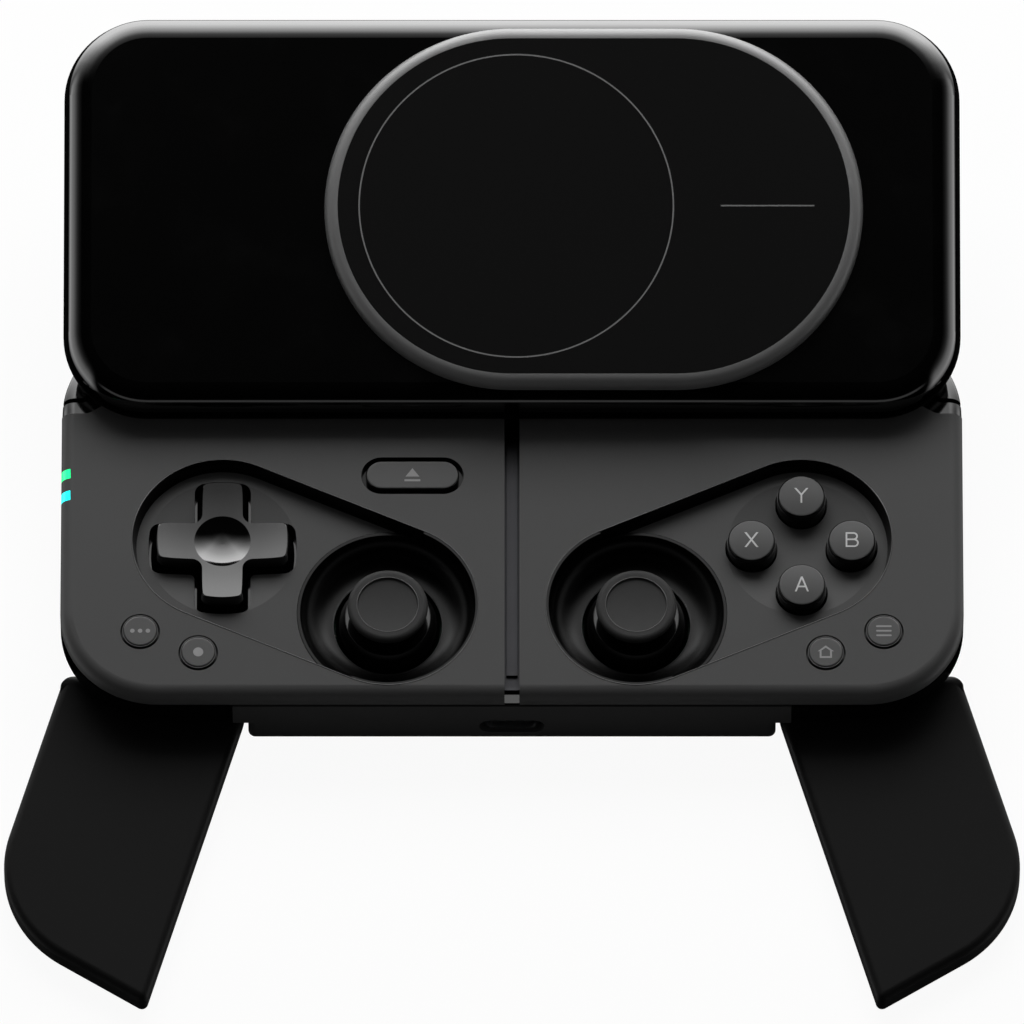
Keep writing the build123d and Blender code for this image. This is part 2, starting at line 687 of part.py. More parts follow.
def board_parts():
    """Chips, inductors and the switches under the small keys."""
    found = []
    for (x_share, y_share), (wide, deep, tall) in zip(BOARD_PART_shares, BOARD_PART_SIZES):
        x = x_share * HALF_W - wide / 2
        y = y_share * HALF_D - deep / 2
        found.append(block(x, x + wide, y, y + deep, BOARD_TOP, BOARD_TOP + tall))
    gap = PLUNGER_Z - BOARD_TOP - KEY_GAP - JOIN_GAP
    for side in (-1, 1):
        for x, y in ((OUTER_KEY_X, OUTER_KEY_Y), (INNER_KEY_X, INNER_KEY_Y)):
            found.append(drum(side * x, y, PLUNGER_RADIUS + KEY_GAP, BOARD_TOP, BOARD_TOP + gap))
    found.append(drum(EJECT_X, EJECT_Y, PLUNGER_RADIUS + KEY_GAP, BOARD_TOP, BOARD_TOP + gap))
    return Compound(children=found)


def battery():
    cell = block(-BATTERY_HALF, BATTERY_HALF, BATTERY_SOUTH, BATTERY_NORTH, WALL, WALL + BATTERY_THICK)
    return fillet(cell.edges().filter_by(Axis.Z), WALL)


def usb_socket():
    mouth = -HALF_D + SOCKET_SETBACK
    plane = Plane.XZ.offset(-mouth)
    shell = extrude(plane * Pos(0, PORT_Z) * SlotOverall(SOCKET_WIDTH, SOCKET_HEIGHT), amount=-SOCKET_DEPTH)
    inner = SlotOverall(SOCKET_WIDTH - 2 * SOCKET_WALL, SOCKET_HEIGHT - 2 * SOCKET_WALL)
    shell -= extrude(plane * Pos(0, PORT_Z) * inner, amount=-(SOCKET_DEPTH - 2 * SOCKET_WALL))
    foot = SOCKET_WIDTH / 4
    under = PORT_Z - SOCKET_HEIGHT / 2 + SOCKET_WALL
    shell += block(-foot, foot, LOW_BOARD_SOUTH, mouth + SOCKET_DEPTH, LOW_BOARD_TOP, under)
    shell += block(
        -TONGUE_WIDTH / 2,
        TONGUE_WIDTH / 2,
        mouth + SOCKET_WALL * 2,
        mouth + SOCKET_DEPTH - SOCKET_WALL,
        PORT_Z - TONGUE_THICK / 2,
        PORT_Z + TONGUE_THICK / 2,
    )
    return shell


# Rubber sheets under the keys.
def sheet(side):
    """A rubber sheet with four bumps under one key group."""
    square = RectangleRounded(2 * SHEET_HALF, 2 * SHEET_HALF, BODY_CORNER / 4)
    plan = Pos(side * PAD_X, PAD_Y) * (square if side > 0 else Circle(ROUND_SHEET_RADIUS))
    rubber = column(plan, BOARD_TOP, BOARD_TOP + SHEET_THICK)
    spread = CAP_SPREAD if side > 0 else LOW_BUMP_SPREAD
    rise = BUMP_HEIGHT if side > 0 else LOW_BUMP_HEIGHT
    for turn in (0, 90, 180, 270):
        x = side * PAD_X + spread * cos(radians(turn))
        y = PAD_Y + spread * sin(radians(turn))
        rubber += drum(x, y, BUMP_RADIUS, BOARD_TOP + SHEET_THICK, BOARD_TOP + SHEET_THICK + rise)
    if side < 0:
        rubber -= drum(-PAD_X, PAD_Y, FORK_RADIUS + JOIN_GAP, BOARD_TOP, BOARD_TOP + SHEET_THICK)
    return rubber


# Status lights, shaped to the rounded edge.
def status_light(y):
    skin = rounded_body(0, SEAM_TOP, DECK_Z, DECK_ROUND)
    inset = LIGHT_WIDTH / 2 - RUNNING
    low = LIGHT_LOW + RUNNING
    pipe = block(-HALF_W, -HALF_W + LIGHT_DEPTH - RUNNING, y - inset, y + inset, low, DECK_Z)
    return pipe & skin


# Rail and carriage of the slide.
def slide_rail():
    rail = block(-RAIL_HALF, RAIL_HALF, RAIL_SOUTH, RAIL_NORTH, RAIL_BOTTOM, DECK_UNDER)
    inner = RAIL_HALF - RAIL_WALL
    south = RAIL_SOUTH + RAIL_WALL / 2
    rail -= block(-inner, inner, south, RAIL_NORTH - RAIL_WALL, RAIL_FLOOR, RAIL_LIP)
    slot = SLOT_HALF + JOIN_GAP
    rail -= block(-slot, slot, RAIL_SOUTH, RAIL_NORTH - RAIL_WALL, RAIL_LIP, DECK_UNDER)
    rail += block(-RIB_HALF, RIB_HALF, RIB_SOUTH, RAIL_NORTH - RAIL_WALL, RAIL_FLOOR, RAIL_FLOOR + RIB_HEIGHT)
    return rail


def slide_carriage():
    south = PIN_Y - FOOT_SOUTH
    foot = block(-FOOT_HALF, FOOT_HALF, south, south + FOOT_LENGTH, FOOT_Z, FOOT_Z + FOOT_THICK)
    foot = fillet(foot.edges().filter_by(Axis.Z), FOOT_THICK / 2)
    neck = block(-NECK_HALF, NECK_HALF, PIN_Y - NECK_DEPTH, PIN_Y + NECK_DEPTH, FOOT_Z, PIN_Z)
    blade = block(-NECK_HALF, NECK_HALF, PIN_Y - FOOT_SOUTH, PIN_Y + FOOT_LENGTH / 2, FOOT_Z, DECK_Z)
    barrel = rod_x(-BARREL_HALF, BARREL_HALF, PIN_Y, PIN_Z, BARREL_RADIUS)
    body = foot + neck + blade + barrel
    return body - rod_x(-BARREL_HALF, BARREL_HALF, PIN_Y, PIN_Z, TILT_PIN_RADIUS + RUNNING)


def carriage_glides():
    """Four pads that run on the side walls of the rail."""
    found = []
    reach = RAIL_HALF - RAIL_WALL - RUNNING
    south = PIN_Y - FOOT_SOUTH + FOOT_THICK
    north = south + FOOT_LENGTH - 2 * FOOT_THICK - GLIDE_LENGTH
    low = RAIL_FLOOR + RUNNING
    for start in (south, north):
        pad = block(FOOT_HALF, reach, start, start + GLIDE_LENGTH, low, RAIL_LIP - RUNNING)
        found += [pad, mirrored(pad)]
    return Compound(children=found)


# Phone plate, built flat about its pin and then tilted.
def plate_outline(inset=0):
    size = (PLATE_WIDTH - 2 * inset, PLATE_LENGTH - 2 * inset)
    return Pos(0, PLATE_MID) * RectangleRounded(*size, PLATE_CORNER - inset)


def plate_screw_places():
    ends = [PLATE_SCREW_SOUTH, PLATE_SCREW_NORTH]
    return [(side * PLATE_SCREW_X, y) for side in (-1, 1) for y in ends] + [(0, PLATE_SCREW_NORTH)]


RIB_shares = [-0.62, -0.31, 0.31, 0.62]


def plate_frame():
    floor_top = PLATE_LOW + FRAME_THICK
    frame = column(plate_outline(), PLATE_LOW, floor_top)
    frame = fillet(frame.faces().sort_by(Axis.Z)[0].edges(), FRAME_THICK - JOIN_GAP)
    ledge = column(plate_outline(COVER_INSET + COVER_WALL / 2), floor_top, COVER_LOW)
    ledge -= column(plate_outline(COVER_INSET + 2 * COVER_WALL), floor_top, COVER_LOW)
    frame += ledge
    inner = COVER_INSET + COVER_WALL + JOIN_GAP
    wall_top = PLATE_TOP - COVER_WALL - PLATE_ROUND / 2
    wall = column(plate_outline(inner), floor_top, wall_top)
    wall -= column(plate_outline(inner + FRAME_THICK), floor_top, wall_top)
    clear = block(-TILT_PIN_HALF, TILT_PIN_HALF, -PIN_INSET, PIN_RISE, floor_top, PLATE_TOP)
    frame += wall - clear
    rib_half = FRAME_THICK / 2
    for x_share in RIB_shares:
        x = x_share * PLATE_WIDTH / 2
        frame += block(
            x - rib_half, x + rib_half, 0, PLATE_LENGTH - PIN_INSET - inner, floor_top - rib_half, 0
        )
    for side in (-1, 1):
        low = BARREL_HALF + FREE_GAP
        ear = block(low, low + KNUCKLE_WIDTH, -BARREL_RADIUS, BARREL_RADIUS, PLATE_LOW + rib_half, 0)
        ear += rod_x(low, low + KNUCKLE_WIDTH, 0, 0, BARREL_RADIUS)
        frame += on_side(ear, side)
    gap = BARREL_HALF + FREE_GAP
    swing = NECK_DEPTH + PIN_RISE * sin(radians(TILT)) + FREE_GAP
    frame -= block(-gap, gap, -swing, swing, PLATE_LOW - OVERRUN, PLATE_TOP)
    frame -= rod_x(-TILT_PIN_HALF, TILT_PIN_HALF, 0, 0, TILT_PIN_RADIUS + RUNNING)
    coil_room = SPRING_RADIUS + SPRING_WIRE + JOIN_GAP
    for side in (-1, 1):
        frame -= on_side(rod_x(gap + KNUCKLE_WIDTH, TILT_PIN_HALF, 0, 0, coil_room), side)
    for x, y in plate_screw_places():
        frame += drum(x, y, PLATE_BOSS, PLATE_LOW + rib_half, 0)
        frame -= drum(x, y, SCREW_RADIUS + RUNNING, PLATE_LOW, 0)
        frame -= drum(x, y, HEAD_RADIUS + JOIN_GAP, PLATE_LOW, PLATE_LOW + HEAD_SINK + HEAD_THICK)
    return PLATE_PLACE * frame


def plate_cover():
    cover = column(plate_outline(COVER_INSET), COVER_LOW, PLATE_TOP)
    cover = fillet(cover.faces().sort_by(Axis.Z)[-1].edges(), PLATE_ROUND)
    hollow = column(plate_outline(COVER_INSET + COVER_WALL), COVER_LOW, PLATE_TOP - COVER_WALL)
    hollow = fillet(hollow.faces().sort_by(Axis.Z)[-1].edges(), PLATE_ROUND / 2)
    cover -= hollow
    for x, y in plate_screw_places():
        cover += drum(x, y, PLATE_BOSS, 0, PLATE_TOP - COVER_WALL)
        cover -= drum(x, y, SCREW_RADIUS + RUNNING, 0, PLATE_TOP - 2 * COVER_WALL)
    return PLATE_PLACE * cover


def plate_screws():
    top = PLATE_TOP - 2 * COVER_WALL - JOIN_GAP
    found = [screw(x, y, PLATE_LOW + HEAD_SINK, top) for x, y in plate_screw_places()]
    return PLATE_PLACE * Compound(children=found)


def tilt_pin():
    pin = rod_x(-TILT_PIN_HALF, TILT_PIN_HALF, 0, 0, TILT_PIN_RADIUS)
    return PLATE_PLACE * fillet(pin.edges().filter_by(GeomType.CIRCLE), TILT_PIN_RADIUS / 4)


def tilt_springs():
    """Two torsion springs on the pin, each with a leg on the plate."""
    pitch = 2 * SPRING_WIRE + RUNNING
    start = BARREL_HALF + FREE_GAP + KNUCKLE_WIDTH + FREE_GAP
    found = []
    for side in (-1, 1):
        coil = Helix(pitch, pitch * SPRING_TURNS, SPRING_RADIUS)
        ring = Plane(coil @ 0, z_dir=coil % 0) * Circle(SPRING_WIRE)
        wire = sweep(ring, path=coil)
        place = start if side > 0 else -start - pitch * SPRING_TURNS
        found.append(Pos(place, 0, 0) * Rot(0, 90, 0) * wire)
    return PLATE_PLACE * Compound(children=found)


# Magnetic mount.
def pill(length, width):
    return Pos(PILL_X, PLATE_MID) * SlotOverall(length, width)


def mount_pill():
    top = PLATE_TOP + PILL_HEIGHT
    body = column(pill(PILL_LENGTH, PILL_WIDTH), PLATE_TOP, top)
    body = fillet(body.faces().sort_by(Axis.Z)[-1].edges(), PILL_ROUND)
    body -= column(pill(FACE_LENGTH, FACE_WIDTH), top - FACE_THICK, top + OVERRUN)
    room = pill(FACE_LENGTH - COVER_WALL, FACE_WIDTH - COVER_WALL)
    return PLATE_PLACE * (body - column(room, PLATE_TOP, PLATE_TOP + MAGNET_THICK + JOIN_GAP))


def pad_face():
    top = PLATE_TOP + PILL_HEIGHT
    face = column(pill(FACE_LENGTH - 2 * RUNNING, FACE_WIDTH - 2 * RUNNING), top - FACE_THICK, top)
    return PLATE_PLACE * face


def magnet_ring():
    """Arc magnets standing side by side in a ring."""
    step = 360 / RING_MAGNETS
    ring = Circle(RING_OUTER) - Circle(RING_INNER)
    half = radians((step - RING_GAP_ANGLE) / 2)
    far_x = 2 * RING_OUTER * cos(half)
    far_y = 2 * RING_OUTER * sin(half)
    wedge = Polygon((0, 0), (far_x, -far_y), (far_x, far_y), align=None)
    arc = column(ring & wedge, PLATE_TOP, PLATE_TOP + MAGNET_THICK)
    found = [Pos(RING_X, PLATE_MID) * Rot(0, 0, step * n) * arc for n in range(RING_MAGNETS)]
    return PLATE_PLACE * Compound(children=found)


def align_magnet():
    plan = Pos(BAR_X, PLATE_MID) * Rectangle(BAR_LENGTH, BAR_WIDTH)
    return PLATE_PLACE * column(plan, PLATE_TOP, PLATE_TOP + MAGNET_THICK)


# Grips, drawn along their hinge on the left side.
def grip_outline(inset=0):
    """Plan of the left grip: slanted sides, a slanted end and one broad corner."""
    tip_x = GRIP_INNER - GRIP_REACH * GRIP_TAN
    end_offset = GRIP_REACH - tip_x * END_TAN
    far_y = (end_offset - GRIP_OUTER * END_TAN) / (1 + GRIP_TAN * END_TAN)
    far_x = -GRIP_OUTER - far_y * GRIP_TAN
    points = [(GRIP_INNER, 0), (tip_x, -GRIP_REACH), (far_x, -far_y), (-GRIP_OUTER, 0)]
    face = Polygon(*points, align=None)
    broad = [v for v in face.vertices() if abs(v.X - far_x) < GRIP_TIP_ROUND and v.Y < 0]
    face = fillet(broad, GRIP_END_ROUND)
    face = fillet([face.vertices().sort_by(Axis.Y)[0]], GRIP_TIP_ROUND)
    if inset:
        face = offset(face, amount=-inset, kind=Kind.INTERSECTION)
        keep = Pos(0, -LID_START - GRIP_REACH) * Rectangle(4 * GRIP_REACH, 2 * GRIP_REACH)
        face &= keep
    return face


def grip_bound():
    """Plan that ends the hinge barrel in line with the slanted sides, with a rounded shoulder."""
    rise = GRIP_HALF_THICK * GRIP_TAN
    far = 2 * GRIP_REACH
    points = [
        (GRIP_INNER - rise, GRIP_HALF_THICK),
        (GRIP_INNER - rise, -GRIP_HALF_THICK),
        (GRIP_INNER - far * GRIP_TAN, -far),
        (-GRIP_OUTER - far * GRIP_TAN, -far),
        (-GRIP_OUTER + rise, GRIP_HALF_THICK),
    ]
    face = Polygon(*points, align=None)
    shoulder = [v for v in face.vertices() if v.Y > 0 and v.X < 0]
    face = fillet(shoulder, GRIP_SHOULDER)
    inner = [v for v in face.vertices() if v.Y > 0 and v.X > GRIP_INNER - GRIP_TIP_ROUND]
    return fillet(inner, GRIP_TIP_ROUND)


def grip_shell():
    slab = column(grip_outline(), -GRIP_HALF_THICK, GRIP_HALF_THICK)
    rims = slab.faces().sort_by(Axis.Z)[-1].edges() + slab.faces().sort_by(Axis.Z)[0].edges()
    slab = fillet([e for e in rims if e.center().Y < -GRIP_HALF_THICK], GRIP_EDGE_ROUND)
    slab += rod_x(-GRIP_OUTER, GRIP_INNER, 0, 0, GRIP_HALF_THICK)
    slab &= column(grip_bound(), -GRIP_HALF_THICK, GRIP_HALF_THICK)
    low = -GRIP_HALF_THICK
    slab -= column(grip_outline(GRIP_BORDER), low - OVERRUN, low + LID_THICK)
    slab -= column(grip_outline(GRIP_BORDER + GRIP_LEDGE), low, GRIP_HALF_THICK - GRIP_WALL)
    for place in LUG_PLACES:
        reach = LUG_RADIUS + FREE_GAP
        half = LUG_WIDTH / 2 + FREE_GAP
        slab -= block(place - half, place + half, -reach, OVERRUN, -OVERRUN, OVERRUN)
    slab -= rod_x(-GRIP_OUTER, GRIP_INNER, 0, 0, GRIP_PIN_RADIUS + RUNNING)
    return HINGE_PLANE.location * slab


def grip_lid():
    low = -GRIP_HALF_THICK
    lid = column(grip_outline(GRIP_BORDER + JOIN_GAP), low, low + LID_THICK)
    return HINGE_PLANE.location * lid


def grip_pin():
    pin = rod_x(-GRIP_OUTER + GRIP_PIN_END, GRIP_INNER - GRIP_PIN_END, 0, 0, GRIP_PIN_RADIUS)
    return HINGE_PLANE.location * pin


# Shoulder keys, drawn on the right side.
def bumper():
    region = corner_region(CHEEK + BUMPER_GAP)
    skin = rounded_body(JOIN_GAP, SHELF_LOW, DECK_Z - CHEEK_DROP, DECK_ROUND)
    solid = column(region, BUMPER_LOW, DECK_Z) & skin
    inner = corner_region(CHEEK + BUMPER_GAP + BUMPER_SKIN)
    room = block(BUMPER_SOLID_X, HALF_W, 0, HALF_D, SHELF_LOW, DECK_Z)
    core = column(inner, BUMPER_LOW - OVERRUN, DECK_UNDER - BUMPER_SKIN) & room
    core &= column(body_outline(BUMPER_SKIN + JOIN_GAP), SHELF_LOW, DECK_Z)
    solid -= core
    return solid - drum(
        BUMPER_PIN_X, BUMPER_PIN_Y, BUMPER_PIN_RADIUS + RUNNING, BUMPER_LOW, DECK_UNDER - BUMPER_SKIN
    )


TRIGGER_shares = [
    (-0.28, 1.0),
    (0.42, 1.0),
    (0.88, 0.62),
    (1.0, 0.02),
    (0.84, -0.82),
    (0.52, -1.0),
    (0.38, -0.78),
    (0.30, -0.48),
    (-0.28, -0.48),
]


def trigger():
    reach = TRIGGER_FRONT - TRIGGER_PIN_Y
    up = TRIGGER_TOP - TRIGGER_PIN_Z
    down = TRIGGER_PIN_Z - TRIGGER_LOW
    points = []
    for y_share, z_share in TRIGGER_shares:
        z = z_share * up if z_share > 0 else z_share * down
        points.append((TRIGGER_PIN_Y + y_share * reach, TRIGGER_PIN_Z + z))
    profile = Plane.YZ.offset(BAY_INNER + FREE_GAP) * Polygon(*points, align=None)
    solid = extrude(profile, amount=BAY_OUTER - BAY_INNER - 2 * FREE_GAP, dir=(1, 0, 0))
    solid = fillet(solid.edges().filter_by(Axis.X), TRIGGER_ROUND)
    grow = TRIGGER_FRONT - HALF_D + JOIN_GAP
    solid &= column(body_outline(-grow), TRIGGER_LOW - OVERRUN, DECK_Z)
    return solid - rod_x(
        BAY_INNER, BAY_OUTER, TRIGGER_PIN_Y, TRIGGER_PIN_Z, TRIGGER_PIN_RADIUS + RUNNING
    )


def shoulder_pins():
    found = []
    end = TRIGGER_PIN_END
    top = DECK_UNDER - BUMPER_SKIN - RUNNING
    for side in (-1, 1):
        bar = rod_x(BAY_INNER - end, BAY_OUTER + end, TRIGGER_PIN_Y, TRIGGER_PIN_Z, TRIGGER_PIN_RADIUS)
        post = drum(BUMPER_PIN_X, BUMPER_PIN_Y, BUMPER_PIN_RADIUS, SHELF_LOW, top)
        found += [on_side(bar, side), on_side(post, side)]
    return Compound(children=found)


# Keys.
def face_button(x, y):
    """A round cap with a slightly crowned top."""
    foot = CAP_FLANGE_THICK
    cap = Pos(x, y, DISH_UNDER) * Cone(
        CAP_RADIUS, CAP_TOP_RADIUS, DECK_Z - DISH_UNDER, align=(Align.CENTER, Align.CENTER, Align.MIN)
    )
    cap &= Pos(x, y, DECK_Z - CAP_CROWN) * Sphere(CAP_CROWN)
    cap = fillet(cap.faces().sort_by(Axis.Z)[-1].edges(), CAP_EDGE)
    return cap + drum(x, y, CAP_RADIUS + CAP_FLANGE, DISH_UNDER - foot, DISH_UNDER)


def deck_key(plan, flange_plan, x, y):
    """A key flush with the deck, with a flange under it and a plunger to its switch."""
    top = DECK_Z + KEY_PROUD
    key = column(plan, DECK_UNDER - KEY_FLANGE_THICK, top)
    key = fillet(key.faces().sort_by(Axis.Z)[-1].edges(), KEY_EDGE)
    key += column(flange_plan, DECK_UNDER - KEY_FLANGE_THICK, DECK_UNDER)
    return key + drum(x, y, PLUNGER_RADIUS, PLUNGER_Z, DECK_UNDER)


def small_key(x, y):
    plan = Pos(x, y) * Circle(KEY_RADIUS)
    flange = Pos(x, y) * Circle(KEY_RADIUS + KEY_FLANGE)
    return deck_key(plan, flange, x, y)


def eject_key():
    plan = Pos(EJECT_X, EJECT_Y) * SlotOverall(EJECT_LENGTH, EJECT_WIDTH)
    wide = 2 * EJECT_FLANGE
    flange = Pos(EJECT_X, EJECT_Y) * SlotOverall(EJECT_LENGTH + wide, EJECT_WIDTH + wide)
    return deck_key(plan, flange, EJECT_X, EJECT_Y)


def dpad():
    low = Pos(0, 0, CROSS_LOW) * cross(CROSS_SPAN, CROSS_HALF, CROSS_BOW, CROSS_INNER_ROUND)
    rise = DECK_Z - CROSS_LOW
    solid = extrude(low, amount=rise, taper=degrees(atan2(CROSS_SPAN - CROSS_TOP_SPAN, rise)))
    solid = fillet(solid.faces().sort_by(Axis.Z)[-1].edges(), CROSS_EDGE)
    broad_z = DECK_Z + sqrt(CROSS_HOLLOW**2 - CROSS_TOP_SPAN**2)
    rim_z = broad_z - sqrt(CROSS_HOLLOW**2 - CROSS_DISH_RADIUS**2)
    dish_z = rim_z + sqrt(CROSS_DISH**2 - CROSS_DISH_RADIUS**2)
    above = drum(0, 0, 2 * CROSS_SPAN, CROSS_LOW, DECK_Z + OVERRUN)
    solid -= (Pos(0, 0, broad_z) * Sphere(CROSS_HOLLOW)) & above
    solid -= Pos(0, 0, dish_z) * Sphere(CROSS_DISH)
    solid += drum(0, 0, CROSS_FLANGE_RADIUS, CROSS_LOW - CROSS_FLANGE_THICK, CROSS_LOW)
    pocket_x = EAR_INNER + EAR_THICK + FREE_GAP
    solid -= block(-pocket_x, pocket_x, -POCKET_Y, POCKET_Y, CROSS_LOW - CROSS_FLANGE_THICK, POCKET_TOP)
    reach = 2 * POCKET_Y + RUNNING
    solid -= rod_y(-reach, reach, 0, ROCK_Z, ROCK_PIN_RADIUS + RUNNING)
    return Pos(-PAD_X, PAD_Y) * solid


def dpad_rocker():
    half = ROCK_HALF
    solid = block(-half, half, -half, half, ROCK_Z - ROCK_HALF_Z, ROCK_Z + ROCK_HALF_Z)
    reach_x = EAR_INNER + EAR_THICK
    solid += rod_x(-reach_x, reach_x, 0, ROCK_Z, ROCK_PIN_RADIUS)
    solid += rod_y(-2 * POCKET_Y, 2 * POCKET_Y, 0, ROCK_Z, ROCK_PIN_RADIUS)
    return Pos(-PAD_X, PAD_Y) * solid


def dpad_fork():
    solid = drum(0, 0, FORK_RADIUS, BOARD_TOP, BOARD_TOP + FORK_BASE)
    for side in (-1, 1):
        ear = block(EAR_INNER, EAR_INNER + EAR_THICK, -EAR_HALF, EAR_HALF, BOARD_TOP, ROCK_Z)
        ear += rod_x(EAR_INNER, EAR_INNER + EAR_THICK, 0, ROCK_Z, EAR_HALF)
        ear -= rod_x(EAR_INNER, EAR_INNER + EAR_THICK, 0, ROCK_Z, ROCK_PIN_RADIUS + RUNNING)
        solid += on_side(ear, side)
    return Pos(-PAD_X, PAD_Y) * solid


# Sticks, built about the middle of a well.
def stick_place(side):
    return Pos(side * STICK_X, STICK_Y, 0)


def stick_well(side):
    """Deep bowl with a steep rim and a wide throat for the dome, open towards the pad."""
    lip = WELL_RADIUS - WELL_LIP
    land = THROAT_RADIUS + THROAT_LAND
    flange_low = TUB_Z - WELL_FLANGE_THICK
    with BuildSketch(Plane.XZ) as section:
        with BuildLine():
            Polyline(
                (land, THROAT_Z),
                (THROAT_RADIUS, THROAT_Z),
                (THROAT_RADIUS, THROAT_LOW),
                *reversed(BOWL_UNDER),
                (WELL_RADIUS, flange_low),
                (WELL_RADIUS + WELL_FLANGE, flange_low),
                (WELL_RADIUS + WELL_FLANGE, TUB_Z),
                (WELL_RADIUS, TUB_Z),
                (WELL_RADIUS, DECK_Z),
                (lip, DECK_Z),
                (lip, BOWL_TOP_Z),
            )
            depth = BOWL_TOP_Z - THROAT_Z
            EllipticalCenterArc((land, BOWL_TOP_Z), lip - land, depth, start_angle=-QUARTER, arc_size=QUARTER)
        make_face()
    bowl = stick_place(side) * revolve(section.sketch, axis=Axis.Z)
    far = 2 * WELL_RADIUS
    turn = degrees(atan2(PAD_Y - STICK_Y, PAD_X - STICK_X))
    opening = block(0, far, -far, far, RECESS_Z + JOIN_GAP, DECK_Z + OVERRUN)
    bowl -= on_side(Pos(STICK_X, STICK_Y) * Rot(0, 0, turn) * opening, side)
    inner = column(body_outline(WALL + JOIN_GAP), BODY_BOTTOM, DECK_Z)
    room = block(RAIL_HALF + JOIN_GAP, HALF_W, -HALF_D, HALF_D, BODY_BOTTOM, DECK_Z)
    return bowl & inner & on_side(room, side)


def stick_module(side):
    plan = RectangleRounded(2 * MODULE_HALF, 2 * MODULE_HALF, MODULE_CORNER)
    case = column(plan, LOW_BOARD_TOP, MODULE_TOP)
    inner = MODULE_HALF - MODULE_WALL
    case -= block(-inner, inner, -inner, inner, LOW_BOARD_TOP + MODULE_FLOOR, MODULE_TOP)
    case -= rod_x(-MODULE_HALF, MODULE_HALF, 0, PIVOT_Z, STICK_PIN_RADIUS + RUNNING)
    return stick_place(side) * case


def stick_yoke(side):
    low = PIVOT_Z - YOKE_HALF_Z
    high = PIVOT_Z + YOKE_HALF_Z
    ring = block(-YOKE_X, YOKE_X, -YOKE_Y, YOKE_Y, low, high)
    ring -= block(-YOKE_IN_X, YOKE_IN_X, -YOKE_IN_Y, YOKE_IN_Y, low, high)
    reach = MODULE_HALF - JOIN_GAP
    for end in (-1, 1):
        ring += on_side(rod_x(YOKE_IN_X, reach, 0, PIVOT_Z, STICK_PIN_RADIUS), end)
    ring -= rod_y(-YOKE_Y, YOKE_Y, 0, PIVOT_Z, STICK_PIN_RADIUS + RUNNING)
    return stick_place(side) * ring


def stick_gimbal(side):
    half = GIMBAL_HALF
    core = block(-half, half, -half, half, PIVOT_Z - GIMBAL_HALF_Z, PIVOT_Z + GIMBAL_HALF_Z)
    core += rod_y(-YOKE_Y, YOKE_Y, 0, PIVOT_Z, STICK_PIN_RADIUS)
    core -= drum(0, 0, SHAFT_RADIUS + RUNNING, PIVOT_Z - GIMBAL_HALF, PIVOT_Z + GIMBAL_HALF)
    return stick_place(side) * core


def stick_shaft(side):
    """Shaft with the glossy dome that closes the throat of the well."""
    ball = Pos(0, 0, PIVOT_Z) * (Sphere(DOME_RADIUS) - Sphere(DOME_RADIUS - DOME_SKIN))
    far = 2 * DOME_RADIUS
    ball &= block(-far, far, -far, far, DOME_SKIRT_Z, DOME_TOP_Z)
    flat = sqrt(DOME_RADIUS**2 - (DOME_TOP_Z - PIVOT_Z) ** 2)
    web = drum(0, 0, flat, DOME_TOP_Z - DOME_WEB, DOME_TOP_Z)
    web &= Pos(0, 0, PIVOT_Z) * Sphere(DOME_RADIUS)
    shaft = drum(0, 0, SHAFT_RADIUS, SHAFT_LOW, SHAFT_STEP_Z)
    shaft += drum(0, 0, SHAFT_WIDE, SHAFT_STEP_Z, DOME_TOP_Z)
    stem = drum(0, 0, STEM_RADIUS, DOME_TOP_Z, STEM_Z)
    return stick_place(side) * (ball + web + shaft + stem)


STICK_CAP_shares = [
    (0.80, 0.0),
    (0.86, 0.12),
    (0.955, 0.42),
    (1.0, 0.68),
    (0.985, 0.86),
    (0.93, 0.97),
    (0.86, 1.0),
]


def stick_cap(side):
    """Rubber cap with a waisted side, a rolled rim and a hollowed disc."""
    tall = STICK_CAP_TOP - STICK_CAP_LOW
    outline = [(r * STICK_CAP_RADIUS, STICK_CAP_LOW + z * tall) for r, z in STICK_CAP_shares]
    disc_z = STICK_CAP_TOP - STICK_DISC_DROP
    rim = STICK_DISC_RADIUS + STICK_DISC_DROP / 2
    with BuildSketch(Plane.XZ) as section:
        with BuildLine():
            Spline(*outline)
            Polyline(
                outline[-1],
                (rim, STICK_CAP_TOP),
                (STICK_DISC_RADIUS, disc_z),
                (0, disc_z),
                (0, STICK_CAP_LOW),
                outline[0],
            )
        make_face()
    cap = revolve(section.sketch, axis=Axis.Z)
    ball = (STICK_DISC_RADIUS**2 + STICK_DISC_DROP**2) / (2 * STICK_DISC_DROP)
    hollow = Pos(0, 0, disc_z - STICK_DISC_DROP + ball) * Sphere(ball)
    cap -= hollow & drum(0, 0, STICK_DISC_RADIUS, STICK_CAP_LOW, disc_z)
    cap -= drum(0, 0, STEM_RADIUS + RUNNING, STICK_CAP_LOW, STEM_Z + RUNNING)
    return stick_place(side) * cap


# All the nodes.
nodes["top_shell"] = top_shell()
front_strip, rear_strip = mid_frame()
nodes["mid_frame"] = front_strip
nodes["rear_frame"] = rear_strip
nodes["lower_housing"] = lower_housing()
nodes["spine_cover"] = spine_cover()
nodes["case_screws"] = case_screws()
nodes["main_board"] = main_board()
nodes["stick_board"] = low_board()
nodes["board_parts"] = board_parts()
nodes["battery"] = battery()
nodes["usb_socket"] = usb_socket()
nodes["face_membrane"] = sheet(1)
nodes["dpad_membrane"] = sheet(-1)
nodes["status_light_green"] = status_light(LIGHT_GREEN_Y)
nodes["status_light_blue"] = status_light(LIGHT_BLUE_Y)
nodes["slide_rail"] = slide_rail()
nodes["slide_carriage"] = slide_carriage()
nodes["carriage_glides"] = carriage_glides()
nodes["plate_frame"] = plate_frame()
nodes["plate_cover"] = plate_cover()
nodes["plate_screws"] = plate_screws()
